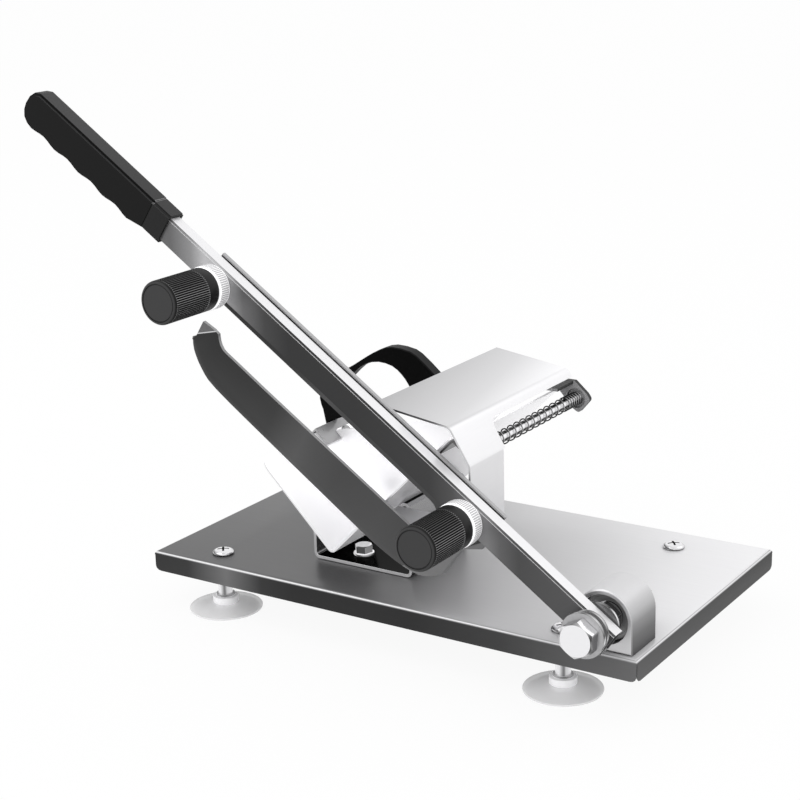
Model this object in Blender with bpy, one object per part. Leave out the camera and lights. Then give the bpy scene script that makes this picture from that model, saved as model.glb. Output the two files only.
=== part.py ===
"""Hand lever slicer for frozen meat rolls.

A folded steel tray on four suction cups carries a V trough, a hooded feed rod
with a return spring, and a bearing block.  A square tube lever turns in the
block and swings a hooked blade down past the front end of the trough.

Lengths are in metres.  The slicer frame has X along the tray's long side, Y
from the lever side to the back, and Z up from the top face of the tray; its
corner is the tray's front left corner.  The lever frame has X along the lever
from the pivot to the grip, Y towards the operator and Z square to the lever.
"""

import math

import bmesh
import bpy
from mathutils import Matrix, Vector

# Fits between pieces that touch, run or are cut
SEAT_GAP = 0.0003
RUNNING_GAP = 0.0001
SLIDING_GAP = 0.0008
OVERRUN = 0.003
THREAD_GAP = 0.0003

# Roundness of turned pieces, in sides
BOLT_SIDES = 24
BEARING_SIDES = 28
KNOB_RIBS = 30
LOCK_RING_RIBS = 28
CUP_SIDES = 24
ROD_SIDES = 16

# Tray
TRAY_LENGTH = 0.335
TRAY_DEPTH = 0.190
TRAY_SHEET = 0.0015
TRAY_FLANGE = 0.0128
TRAY_BEND = 0.0024
TRAY_SEAM = 0.0006
TRAY_CORNER_ROUND = 0.004

# Feet
FOOT_LEFT_INSET = 0.041
FOOT_RIGHT_INSET = 0.054
FOOT_FRONT_INSET = 0.018
FOOT_REAR_INSET = 0.027
STAND_HEIGHT = 0.036
CUP_RADIUS = 0.023
CUP_HEIGHT = 0.0084
CUP_RIM_WIDTH = 0.0022
CUP_WALL = 0.0014
CUP_NECK_RADIUS = 0.0080
CUP_NECK_SHARE = 0.62
CUP_HOLLOW_SHARE = 0.2
POST_RADIUS = 0.0045
POST_COLLAR_RADIUS = 0.0062
POST_COLLAR_HEIGHT = 0.0010
FOOT_SCREW_RADIUS = 0.003
FOOT_SCREW_HEAD_RADIUS = 0.0068
FOOT_SCREW_HEAD_HEIGHT = 0.0032
FOOT_SCREW_GRIP = 0.0042
CROSS_SLOT_WIDTH = 0.0014
CROSS_SLOT_LENGTH = 0.0068
CROSS_SLOT_DEPTH = 0.0016

# Bearing block and its two deep groove bearings
PIVOT_INSET = 0.0216
PIVOT_Z = 0.0183
BLOCK_WIDTH = 0.034
BLOCK_FRONT_Y = 0.0035
BLOCK_DEPTH = 0.0295
BLOCK_EDGE = 0.0008
BLOCK_BORE_RADIUS = 0.009
BEARING_OUTER_RADIUS = 0.014
BEARING_WIDTH = 0.008
BEARING_RACE = 0.0024
BEARING_SEAL_DEPTH = 0.0006
COUNTERBORE_FRONT_DEPTH = 0.0055
BLOCK_SCREW_RADIUS = 0.0025
BLOCK_SCREW_HEAD_RADIUS = 0.0048
BLOCK_SCREW_HEAD_HEIGHT = 0.0028
BLOCK_SCREW_REACH = 0.008

# Pivot bolt and the stack that it clamps
PIVOT_BOLT_RADIUS = 0.006
HEX_FLATS = 0.0185
HEX_HEAD_HEIGHT = 0.0075
HEX_CHAMFER = 0.0012
WASHER_BORE_GAP = 0.0003
FRONT_WASHER_RADIUS = 0.012
FRONT_WASHER_THICKNESS = 0.0025
SPRING_WASHER_RADIUS = 0.0105
SPRING_WASHER_THICKNESS = 0.003
SPRING_WASHER_SPLIT = 0.0012
HEAD_WASHER_RADIUS = 0.013
HEAD_WASHER_THICKNESS = 0.0025
BACK_WASHER_RADIUS = 0.012
BACK_WASHER_THICKNESS = 0.002
JAM_NUT_HEIGHT = 0.0065
REAR_WASHER_RADIUS = 0.012
REAR_WASHER_THICKNESS = 0.0018
REAR_NUT_HEIGHT = 0.008
BOLT_TAIL = 0.0026

# Lever tube
LEVER_ANGLE = math.radians(34.7)
TUBE_HEIGHT = 0.016
TUBE_DEPTH = 0.010
TUBE_WALL = 0.0012
TUBE_CORNER = 0.0012
TUBE_BACK = 0.003
TUBE_TAIL = 0.0124
TUBE_REACH = 0.400

# Handle: a short collar and a moulded grip
HANDLE_TUBE_GRIP = 0.0631
COLLAR_LENGTH = 0.0139
COLLAR_TOP = 0.0104
COLLAR_BOTTOM = 0.0094
GRIP_BEYOND_TUBE = 0.0605
GRIP_TOP = 0.0107
GRIP_HOLLOW = 0.0109
GRIP_CREST = 0.0125
GRIP_FINGERS = 4
GRIP_END_RADIUS = 0.0105
GRIP_EDGE = 0.0016
GRIP_BACK = 0.0012
GRIP_FRONT = 0.0147

# Blade: a hooked plate behind the tube, open towards the grip
BLADE_THICKNESS = 0.0022
BLADE_BACK = 0.0005
BLADE_SPINE_START = 0.0752
BLADE_SPINE_END = 0.3018
BLADE_SPINE_RISE = 0.0011
BLADE_SPINE_DROP = 0.0170
BLADE_HEEL_INSET = 0.0093
BLADE_REACH = 0.2099
BLADE_THROAT_REACH = 0.1060
BLADE_THROAT_RADIUS = 0.0095
BLADE_EDGE_DROP = 0.0676
BLADE_BEVEL = 0.0045
BLADE_BEVEL_DEPTH = 0.0017

# Clamp knobs on the lever
KNOB_LOWER_REACH = 0.0907
KNOB_UPPER_REACH = 0.2920
KNOB_DROP = 0.0050
STUD_RADIUS = 0.0022
STUD_GRIP = 0.016
LOCK_RING_RADIUS = 0.0131
LOCK_RING_WIDTH = 0.0092
LOCK_RING_RIB = 0.0004
LOCK_RING_EDGE = 0.0008
KNOB_RADIUS = 0.0127
KNOB_LENGTH = 0.0392
KNOB_RIB = 0.0005
KNOB_SKIRT = 0.0085
KNOB_FACE_STEP = 0.0008
KNOB_FACE_RIM = 0.0016
KNOB_EDGE = 0.0008

# V trough
TROUGH_FRONT_Y = 0.002
TROUGH_BACK_Y = 0.140
TROUGH_SHEET = 0.0012
TROUGH_BOTTOM_X = 0.1362
TROUGH_BOTTOM_Z = 0.0231
TROUGH_LEFT_WALL = 0.0716
TROUGH_RIGHT_WALL = 0.1165
TROUGH_CORNER = 0.009
TROUGH_NOTCH_FRONT_Y = 0.057
TROUGH_NOTCH_DEPTH = 0.0088
TROUGH_NOTCH_ROUND = 0.003
TROUGH_BEND = 0.003

# Hood over the feed rod
HOOD_LEFT_X = 0.1692
HOOD_LEFT_Z = 0.1201
HOOD_BEND_X = 0.2189
HOOD_BEND_Z = 0.1130
HOOD_SLOPE_X = 0.2322
HOOD_SLOPE_Z = 0.0921
HOOD_SKIRT_BACK_Y = 0.0388
HOOD_BEND_RADIUS = 0.005
HOOD_SKIRT_BOTTOM_Z = 0.0440
HOOD_WINDOW_FRONT_Y = 0.0410
HOOD_WINDOW_TOP = 0.0060
HOOD_WINDOW_ROUND = 0.0060

# Trough bracket on the tray
BRACKET_LEFT_X = 0.0958
BRACKET_RIGHT_X = 0.1676
BRACKET_SHEET = 0.002
BRACKET_FRONT_Y = 0.0394
BRACKET_LENGTH = 0.0640
BRACKET_BEND = 0.003
BRACKET_BOLT_X_OFFSET = 0.0091
BRACKET_BOLT_Y_OFFSET = 0.0166
WALL_BOLT_RISE = 0.0204
WALL_BOLT_Y = 0.0586
WALL_TAB_RISE = 0.011
WALL_SCREW_HEAD_RADIUS = 0.005
WALL_SCREW_HEAD_HEIGHT = 0.0008
SMALL_BOLT_RADIUS = 0.003
SMALL_HEX_FLATS = 0.010
SMALL_HEX_HEIGHT = 0.0045
SMALL_WASHER_RADIUS = 0.0065
SMALL_WASHER_THICKNESS = 0.0014
SMALL_BOLT_TAIL = 0.0015

# Feed rod, its holder and its return spring
ROD_X = 0.2249
ROD_Z = 0.0947
ROD_RADIUS = 0.003
ROD_SPIGOT_RADIUS = 0.0019
ROD_TAIL = 0.0010
HOLDER_LUG = 0.003
HOLDER_STRIP = 0.0012
HOLDER_FRONT_Y = 0.0040
HOLDER_TAB = 0.012
HOLDER_SLOPE_REACH = 0.0130
HOLDER_FOOT = 0.0065
SPRING_RADIUS = 0.0050
SPRING_WIRE = 0.0011
SPRING_OPEN_COILS = 11
SPRING_TIGHT_COILS = 6
SPRING_TIGHT_PITCH = 0.0028
SPRING_POINTS = 10

# Slide that runs on the rod and carries the pusher
SLIDE_FRONT_Y = 0.1400
SLIDE_PLATE = 0.0030
SLIDE_SEAT_BORE = 0.0062
SLIDE_SEAT_DEPTH = 0.0018
SLIDE_FLANGE_LENGTH = 0.020
SLIDE_FLANGE = 0.002
SLIDE_EAR = 0.0033
ROD_NUT_FLATS = 0.0075
ROD_NUT_HEIGHT = 0.0024

# Pusher
PUSHER_FRONT_Y = 0.0737
PUSHER_PLATE = 0.002
PUSHER_WALL_GAP = 0.0015
PUSHER_LEFT_RISE = 0.0670
PUSHER_TAB_LENGTH = 0.0145
PUSHER_TAB = 0.0015
PUSHER_DIP_X = 0.0120
PUSHER_DIP_Z = 0.0060
ARM_LEFT_X = 0.2030
ARM_RIGHT_X = 0.2135
ARM_BOTTOM_Z = 0.1030
ARM_THICKNESS = 0.0025
RING_DEPTH = 0.0080
RING_LEFT_X = 0.0773
RING_BOTTOM_Z = 0.0712
RING_WIDTH = 0.1060
RING_HEIGHT = 0.0600
SADDLE_FRONT_Y = 0.0590
SADDLE_LENGTH = 0.0360
SADDLE_SHEET = 0.0012
SADDLE_DROP = 0.0107
SADDLE_SCREW_Y = 0.0805
SADDLE_SCREW_RADIUS = 0.0016
SADDLE_SCREW_HEAD = 0.0032
SADDLE_SCREW_HEIGHT = 0.0018


# Helpers

def clear_scene():
    """Remove whatever the file holds before modelling starts."""
    for item in list(bpy.data.objects):
        bpy.data.objects.remove(item, do_unlink=True)


def finish_material(name, colour, roughness, metallic):
    """One Principled material."""
    material = bpy.data.materials.new(name)
    material.use_nodes = True
    shader = material.node_tree.nodes["Principled BSDF"]
    shader.inputs["Base Color"].default_value = (*colour, 1.0)
    shader.inputs["Roughness"].default_value = roughness
    shader.inputs["Metallic"].default_value = metallic
    return material


def empty_at(name, place, parent=None, turn=(0, 0, 0)):
    """A named empty, such as a joint's axis, that pieces hang on."""
    empty = bpy.data.objects.new(name, None)
    empty.empty_display_size = FOOT_LEFT_INSET
    bpy.context.collection.objects.link(empty)
    empty.parent = parent
    empty.location = place
    empty.rotation_euler = turn
    return empty


def mesh_of(name, bm):
    """Turn a bmesh into a mesh with its faces pointing out."""
    bmesh.ops.recalc_face_normals(bm, faces=bm.faces)
    mesh = bpy.data.meshes.new(name)
    bm.to_mesh(mesh)
    bm.free()
    return mesh


def place(name, bm, finish, parent, at=(0, 0, 0), turn=(0, 0, 0), smooth=None):
    """Make a named piece from a bmesh, with its finish, place and parent."""
    mesh = mesh_of(name, bm)
    if smooth is not None:
        mesh.shade_smooth()
        mesh.set_sharp_from_angle(angle=smooth)
    if finish is not None:
        mesh.materials.append(finish)
    piece = bpy.data.objects.new(name, mesh)
    bpy.context.collection.objects.link(piece)
    piece.parent = parent
    piece.location = at
    piece.rotation_euler = turn
    return piece


def combine(piece, tool_bm, operation="DIFFERENCE", at=(0, 0, 0), turn=(0, 0, 0)):
    """Cut, join or intersect a piece with a tool given in the piece's own frame."""
    tool = place(piece.name + "_tool", tool_bm, None, piece, at, turn)
    tool.hide_render = True
    tool.display_type = "WIRE"
    step = piece.modifiers.new(operation.title(), "BOOLEAN")
    step.operation = operation
    step.solver = "EXACT"
    step.object = tool
    return tool


def prism(outline, low, high):
    """Extrude an outline of (x, z) points along Y, from low to high."""
    bm = bmesh.new()
    near = [bm.verts.new((x, low, z)) for x, z in outline]
    face = bm.faces.new(near)
    grown = bmesh.ops.extrude_face_region(bm, geom=[face])
    lifted = [item for item in grown["geom"] if isinstance(item, bmesh.types.BMVert)]
    bmesh.ops.translate(bm, verts=lifted, vec=(0, high - low, 0))
    return bm


def box(low, high):
    """A box between two corners."""
    return prism([(low[0], low[2]), (high[0], low[2]), (high[0], high[2]), (low[0], high[2])],
                 low[1], high[1])


def turned(profile, sides):
    """Turn a closed profile of (radius, height) points about Z."""
    bm = bmesh.new()
    ring = [bm.verts.new((radius, 0, height)) for radius, height in profile]
    edges = [bm.edges.new((ring[i - 1], ring[i])) for i in range(len(ring))
             if ring[i - 1].co.x > 0 or ring[i].co.x > 0]
    bmesh.ops.spin(bm, geom=ring + edges, axis=(0, 0, 1), cent=(0, 0, 0),
                   angle=2 * math.pi, steps=sides, use_merge=True)
    bmesh.ops.remove_doubles(bm, verts=bm.verts, dist=MERGE)
    return bm


def disc(radius, low, high, sides):
    """A plain cylinder about Z."""
    return turned([(0, low), (radius, low), (radius, high), (0, high)], sides)


def tube_ring(inner, outer, low, high, sides):
    """A plain ring about Z."""
    return turned([(inner, low), (outer, low), (outer, high), (inner, high)], sides)


def hex_outline(flats):
    """The six corners of a hexagon, given its size across flats."""
    corner = flats / math.sqrt(3)
    return [(corner * math.cos(math.radians(60 * i)), corner * math.sin(math.radians(60 * i)))
            for i in range(6)]


def hex_nut(flats, low, high, bore, sides):
    """A hexagonal nut about Z, with a plain bore."""
    bm = bmesh.new()
    rings = []
    for height in (low, high):
        outer = [bm.verts.new((x, y, height)) for x, y in hex_outline(flats)]
        inner = [bm.verts.new((bore * math.cos(2 * math.pi * i / sides),
                               bore * math.sin(2 * math.pi * i / sides), height))
                 for i in range(sides)]
        rings.append((outer, inner))
    for outer, inner in rings:
        loop = [bm.edges.new((r[i - 1], r[i])) for r in (outer, inner) for i in range(len(r))]
        bmesh.ops.triangle_fill(bm, edges=loop, use_beauty=True)
    for a, b in zip(rings[0], rings[1]):
        for i in range(len(a)):
            bm.faces.new((a[i - 1], a[i], b[i], b[i - 1]))
    return bm


def hex_chamfer(flats, low, high, chamfer, sides):
    """A turned solid whose intersection with a hexagon rounds its outer corners."""
    corner = flats / math.sqrt(3)
    slope = chamfer * math.sqrt(3)
    return turned([(0, low - OVERRUN), (corner + slope, low - OVERRUN),
                   (corner + slope, high - chamfer), (corner - chamfer, high), (0, high)], sides)


def arc(centre, radius, start, end, count):
    """Points on an arc, in degrees, both ends included."""
    return [(centre[0] + radius * math.cos(math.radians(start + (end - start) * i / count)),
             centre[1] + radius * math.sin(math.radians(start + (end - start) * i / count)))
            for i in range(count + 1)]


def smooth_line(points, steps, closed=False):
    """A smooth line through points, as a Catmull-Rom curve."""
    count = len(points)
    spans = count if closed else count - 1
    line = []
    for i in range(spans):
        if closed:
            p = [Vector(points[(i + k - 1) % count]) for k in range(4)]
        else:
            p = [Vector(points[min(max(i + k - 1, 0), count - 1)]) for k in range(4)]
        for j in range(steps):
            t = j / steps
            line.append(tuple(0.5 * (2 * p[1] + (p[2] - p[0]) * t
                                     + (2 * p[0] - 5 * p[1] + 4 * p[2] - p[3]) * t * t
                                     + (3 * p[1] - p[0] - 3 * p[2] + p[3]) * t * t * t)))
    if not closed:
        line.append(tuple(points[-1]))
    return line


def rounded(outline, radii, steps=4):
    """Round an outline's corners: radii holds one radius for each point, or zero."""
    result = []
    count = len(outline)
    for i in range(count):
        here = Vector(outline[i])
        back = Vector(outline[i - 1]) - here
        ahead = Vector(outline[(i + 1) % count]) - here
        radius = radii[i]
        if not radius:
            result.append(tuple(here))
            continue
        half = back.angle(ahead) / 2
        reach = radius / math.tan(half)
        start = here + back.normalized() * reach
        end = here + ahead.normalized() * reach
        centre = here + (back.normalized() + ahead.normalized()).normalized() * (radius / math.sin(half))
        first = math.atan2(start.y - centre.y, start.x - centre.x)
        sweep = math.atan2(end.y - centre.y, end.x - centre.x) - first
        sweep = (sweep + math.pi) % (2 * math.pi) - math.pi
        for k in range(steps + 1):
            angle = first + sweep * k / steps
            result.append((centre.x + radius * math.cos(angle), centre.y + radius * math.sin(angle)))
    return result


def sheet_strip(line, thickness):
    """The outline of a bent sheet whose middle runs along a line of (x, z) points."""
    left, right = [], []
    for i, point in enumerate(line):
        here = Vector(point)
        back = (here - Vector(line[i - 1])).normalized() if i else None
        ahead = (Vector(line[i + 1]) - here).normalized() if i + 1 < len(line) else None
        back = back or ahead
        ahead = ahead or back
        normal = Vector((-back.y - ahead.y, back.x + ahead.x)).normalized()
        square = Vector((-back.y, back.x))
        offset = normal * (thickness / 2 / normal.dot(square))
        left.append(tuple(here + offset))
        right.append(tuple(here - offset))
    return left + right[::-1]


def bent(corners, radius, steps=4):
    """A line of (x, z) points whose inner corners are bent to a radius."""
    radii = [0] + [radius] * (len(corners) - 2) + [0]
    return rounded(corners, radii, steps)


# Where things stand, worked out from the sizes above

MERGE = SEAT_GAP / 100
CREASE = math.radians(35)
FACE_FRONT = (math.radians(90), 0, 0)
LEVER_FRONT = (math.radians(-90), 0, 0)
DIAGONAL = math.sqrt(0.5)

FOOT_PLACES = {
    "front_left": (FOOT_LEFT_INSET, FOOT_FRONT_INSET),
    "front_right": (TRAY_LENGTH - FOOT_RIGHT_INSET, FOOT_FRONT_INSET),
    "rear_left": (FOOT_LEFT_INSET, TRAY_DEPTH - FOOT_REAR_INSET),
    "rear_right": (TRAY_LENGTH - FOOT_RIGHT_INSET, TRAY_DEPTH - FOOT_REAR_INSET),
}
PIVOT_X = TRAY_LENGTH - PIVOT_INSET
BLOCK_BACK_Y = BLOCK_FRONT_Y + BLOCK_DEPTH
BLOCK_SCREW_YS = {"front": BLOCK_FRONT_Y + BLOCK_DEPTH / 4, "rear": BLOCK_BACK_Y - BLOCK_DEPTH / 4}
TUBE_FRONT = TUBE_BACK + TUBE_DEPTH
COLLAR_START = TUBE_REACH - HANDLE_TUBE_GRIP
GRIP_END = TUBE_REACH + GRIP_BEYOND_TUBE
BRACKET_MIDDLE = ((BRACKET_LEFT_X + BRACKET_RIGHT_X) / 2, BRACKET_FRONT_Y + BRACKET_LENGTH / 2)
BRACKET_BOLTS = {
    "front": (BRACKET_MIDDLE[0] - BRACKET_BOLT_X_OFFSET, BRACKET_MIDDLE[1] - BRACKET_BOLT_Y_OFFSET),
    "rear": (BRACKET_MIDDLE[0] + BRACKET_BOLT_X_OFFSET, BRACKET_MIDDLE[1] + BRACKET_BOLT_Y_OFFSET),
}
BLADE_FRONT = BLADE_BACK + BLADE_THICKNESS
WALL_HALF = TROUGH_SHEET / 2
HOLDER_BACK_Y = HOOD_WINDOW_FRONT_Y
SLIDE_BACK_Y = SLIDE_FRONT_Y + SLIDE_PLATE
PUSHER_BACK_Y = PUSHER_FRONT_Y + PUSHER_PLATE
SADDLE_OUT = WALL_HALF + SLIDING_GAP + SADDLE_SHEET


def trough_point(side, length, out=0):
    """A point on a trough wall: side -1 left or 1 right, length up the wall, out towards the inside."""
    return (TROUGH_BOTTOM_X + side * (length - out) * DIAGONAL,
            TROUGH_BOTTOM_Z + (length + out) * DIAGONAL)


# Base

def tray(parent, finish):
    """Folded tray: a top sheet with four flanges, open below and slit at its corners."""
    low = (0, 0, -TRAY_FLANGE)
    high = (TRAY_LENGTH, TRAY_DEPTH, 0)
    bm = box(low, high)
    top_edges = [e for e in bm.edges if all(abs(v.co.z) < MERGE for v in e.verts)]
    bmesh.ops.bevel(bm, geom=top_edges, offset=TRAY_BEND, segments=4, profile=0.5, affect="EDGES")
    piece = place("base_tray", bm, finish, parent, smooth=CREASE)
    inner_bend = TRAY_BEND - TRAY_SHEET
    hollow = box((TRAY_SHEET, TRAY_SHEET, -TRAY_FLANGE - OVERRUN),
                 (TRAY_LENGTH - TRAY_SHEET, TRAY_DEPTH - TRAY_SHEET, -TRAY_SHEET))
    top_edges = [e for e in hollow.edges if all(v.co.z > -TRAY_SHEET - MERGE for v in e.verts)]
    bmesh.ops.bevel(hollow, geom=top_edges, offset=inner_bend, segments=3, profile=0.5, affect="EDGES")
    combine(piece, hollow)
    half = TRAY_SEAM / 2
    spread = TRAY_CORNER_ROUND * DIAGONAL
    slit = [(half, -TRAY_BEND), (half, -TRAY_FLANGE + spread)]
    slit += [(half + spread - spread * math.cos(math.radians(a)),
              -TRAY_FLANGE + spread - spread * math.sin(math.radians(a))) for a in (30, 60, 90)]
    slit += [(half + spread, -TRAY_FLANGE - OVERRUN)]
    slit = slit + [(-x, z) for x, z in slit[::-1]]
    corners = ((0, 0, 45), (TRAY_LENGTH, 0, 135), (TRAY_LENGTH, TRAY_DEPTH, 225), (0, TRAY_DEPTH, 315))
    for x, y, turn in corners:
        reach = TRAY_BEND * 2
        combine(piece, prism(slit, -reach, reach), at=(x, y, 0), turn=(0, 0, math.radians(turn + 90)))
    for x, y in FOOT_PLACES.values():
        hole = disc(FOOT_SCREW_RADIUS + THREAD_GAP, -TRAY_SHEET - OVERRUN, OVERRUN, BOLT_SIDES)
        combine(piece, hole, at=(x, y, 0))
    for y in BLOCK_SCREW_YS.values():
        hole = disc(BLOCK_SCREW_RADIUS + THREAD_GAP, -TRAY_SHEET - OVERRUN, OVERRUN, ROD_SIDES)
        combine(piece, hole, at=(PIVOT_X, y, 0))
    for x, y in BRACKET_BOLTS.values():
        hole = disc(SMALL_BOLT_RADIUS + THREAD_GAP, -TRAY_SHEET - OVERRUN, OVERRUN, ROD_SIDES)
        combine(piece, hole, at=(x, y, 0))
    return piece


def cross_slot(top):
    """A crossed pair of slots for a screwdriver, down from a height."""
    half_width, half_length = CROSS_SLOT_WIDTH / 2, CROSS_SLOT_LENGTH / 2
    bm = bmesh.new()
    corners = []
    for x, y in ((1, 1), (-1, 1), (-1, -1), (1, -1)):
        corners += [(x * half_length, y * half_width), (x * half_width, y * half_width),
                    (x * half_width, y * half_length)] if x * y > 0 else \
                   [(x * half_width, y * half_length), (x * half_width, y * half_width),
                    (x * half_length, y * half_width)]
    verts = [bm.verts.new((x, y, top - CROSS_SLOT_DEPTH)) for x, y in corners]
    grown = bmesh.ops.extrude_face_region(bm, geom=[bm.faces.new(verts)])
    lifted = [item for item in grown["geom"] if isinstance(item, bmesh.types.BMVert)]
    bmesh.ops.translate(bm, verts=lifted, vec=(0, 0, CROSS_SLOT_DEPTH + OVERRUN))
    return bm


def foot_screw(corner, parent, finish):
    """Pan head screw from the tray's top through the post into the cup's neck."""
    x, y = FOOT_PLACES[corner]
    dome = [(FOOT_SCREW_HEAD_RADIUS * math.cos(math.radians(a)),
             FOOT_SCREW_HEAD_HEIGHT * (0.35 + 0.65 * math.sin(math.radians(a)))) for a in (0, 30, 60)]
    tip = -STAND_HEIGHT + CUP_HEIGHT - FOOT_SCREW_GRIP
    profile = [(0, tip), (FOOT_SCREW_RADIUS, tip), (FOOT_SCREW_RADIUS, SEAT_GAP),
               (FOOT_SCREW_HEAD_RADIUS, SEAT_GAP)] + dome + [(0, FOOT_SCREW_HEAD_HEIGHT)]
    piece = place("foot_screw_" + corner, turned(profile, BOLT_SIDES), finish, parent,
                  at=(x, y, 0), smooth=CREASE)
    combine(piece, cross_slot(FOOT_SCREW_HEAD_HEIGHT))
    return piece


def foot_post(corner, parent, finish):
    """Steel spacer between the tray's sheet and the cup, with a collar on the cup."""
    x, y = FOOT_PLACES[corner]
    bore = FOOT_SCREW_RADIUS + THREAD_GAP
    low = -STAND_HEIGHT + CUP_HEIGHT + SEAT_GAP
    high = -TRAY_SHEET - SEAT_GAP
    profile = [(bore, low), (POST_COLLAR_RADIUS, low), (POST_COLLAR_RADIUS, low + POST_COLLAR_HEIGHT),
               (POST_RADIUS, low + POST_COLLAR_HEIGHT), (POST_RADIUS, high), (bore, high)]
    return place("foot_post_" + corner, turned(profile, ROD_SIDES), finish, parent,
                 at=(x, y, 0), smooth=CREASE)


def suction_cup(corner, parent, finish):
    """Soft cup with a flared skirt, hollow below, and a neck that grips the screw."""
    x, y = FOOT_PLACES[corner]
    floor = -STAND_HEIGHT
    top = floor + CUP_HEIGHT
    neck_low = floor + CUP_HEIGHT * (1 - CUP_NECK_SHARE)
    hollow_top = floor + CUP_HEIGHT * CUP_HOLLOW_SHARE
    bore = FOOT_SCREW_RADIUS + THREAD_GAP
    pocket = top - FOOT_SCREW_GRIP - SEAT_GAP
    span = CUP_RADIUS - CUP_NECK_RADIUS
    skirt_shares = ((0.18, 0.30), (0.50, 0.62), (0.80, 0.86))
    skirt = [(CUP_NECK_RADIUS + span * out, neck_low + (floor + CUP_WALL - neck_low) * down)
             for out, down in skirt_shares]
    inner = CUP_RADIUS - CUP_RIM_WIDTH
    under = [(inner * math.cos(math.radians(a)), floor + (hollow_top - floor) * math.sin(math.radians(a)))
             for a in (0, 30, 60)]
    profile = ([(0, pocket), (bore, pocket), (bore, top), (CUP_NECK_RADIUS, top),
                (CUP_NECK_RADIUS, neck_low)] + skirt
               + [(CUP_RADIUS, floor + CUP_WALL), (CUP_RADIUS, floor)] + under + [(0, hollow_top)])
    return place("suction_cup_" + corner, turned(profile, CUP_SIDES), finish, parent,
                 at=(x, y, 0), smooth=CREASE)


def bearing_block(parent, finish):
    """Arched aluminium block, bored through and counterbored at both faces for bearings."""
    half = BLOCK_WIDTH / 2
    outline = ([(PIVOT_X + half, SEAT_GAP)]
               + arc((PIVOT_X, PIVOT_Z), half, 0, 180, 20) + [(PIVOT_X - half, SEAT_GAP)])
    bm = prism(outline, BLOCK_FRONT_Y, BLOCK_BACK_Y)
    ends = [e for e in bm.edges if abs(e.verts[0].co.y - e.verts[1].co.y) < MERGE]
    bmesh.ops.bevel(bm, geom=ends, offset=BLOCK_EDGE, segments=1, affect="EDGES")
    piece = place("pivot_block", bm, finish, parent, smooth=CREASE)
    seat = BEARING_OUTER_RADIUS + SEAT_GAP
    rear_floor = -BLOCK_BACK_Y + BEARING_WIDTH + 2 * SEAT_GAP
    front_floor = -BLOCK_FRONT_Y - COUNTERBORE_FRONT_DEPTH - BEARING_WIDTH - 2 * SEAT_GAP
    bores = [(0, -BLOCK_BACK_Y - OVERRUN), (seat, -BLOCK_BACK_Y - OVERRUN), (seat, rear_floor),
             (BLOCK_BORE_RADIUS, rear_floor), (BLOCK_BORE_RADIUS, front_floor), (seat, front_floor),
             (seat, -BLOCK_FRONT_Y + OVERRUN), (0, -BLOCK_FRONT_Y + OVERRUN)]
    combine(piece, turned(bores, BEARING_SIDES), at=(PIVOT_X, 0, PIVOT_Z), turn=FACE_FRONT)
    for y in BLOCK_SCREW_YS.values():
        combine(piece, disc(BLOCK_SCREW_RADIUS + THREAD_GAP, -OVERRUN, block_screw_tip(), ROD_SIDES),
                at=(PIVOT_X, y, 0))
    return piece


def block_screw_tip():
    """How far up a block screw's hole may go and stay clear of the bearing seats."""
    seat_bottom = PIVOT_Z - BEARING_OUTER_RADIUS - SEAT_GAP
    return min(BLOCK_SCREW_REACH, seat_bottom - BLOCK_EDGE)


def block_screw(place_name, parent, finish):
    """Screw from below the tray's sheet into the bearing block."""
    y = BLOCK_SCREW_YS[place_name]
    under = -TRAY_SHEET - SEAT_GAP
    tip = block_screw_tip() - SEAT_GAP
    low = under - BLOCK_SCREW_HEAD_HEIGHT
    profile = [(0, low), (BLOCK_SCREW_HEAD_RADIUS, low), (BLOCK_SCREW_HEAD_RADIUS, under),
               (BLOCK_SCREW_RADIUS, under), (BLOCK_SCREW_RADIUS, tip), (0, tip)]
    return place("block_screw_" + place_name, turned(profile, ROD_SIDES), finish, parent,
                 at=(PIVOT_X, y, 0), smooth=CREASE)


def bearing(name, front_y, parent, finish):
    """Ball bearing: outer and inner rings proud of a sunk shield, as one solid."""
    bore = PIVOT_BOLT_RADIUS + RUNNING_GAP
    outer = BEARING_OUTER_RADIUS
    half = BEARING_WIDTH / 2
    sunk = half - BEARING_SEAL_DEPTH
    profile = [(bore, half), (bore, -half), (bore + BEARING_RACE, -half), (bore + BEARING_RACE, -sunk),
               (outer - BEARING_RACE, -sunk), (outer - BEARING_RACE, -half), (outer, -half), (outer, half),
               (outer - BEARING_RACE, half), (outer - BEARING_RACE, sunk), (bore + BEARING_RACE, sunk),
               (bore + BEARING_RACE, half)]
    return place(name, turned(profile, BEARING_SIDES), finish, parent,
                 at=(PIVOT_X, front_y + half, PIVOT_Z), turn=FACE_FRONT, smooth=CREASE)


# Lever

def washer(name, radius, bolt, low, thickness, parent, finish, at=(0, 0), sides=BOLT_SIDES):
    """Flat washer in the lever frame, from a depth towards the front."""
    bm = tube_ring(bolt + WASHER_BORE_GAP, radius, low, low + thickness, sides)
    return place(name, bm, finish, parent, at=(at[0], 0, at[1]), turn=LEVER_FRONT, smooth=CREASE)


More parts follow.
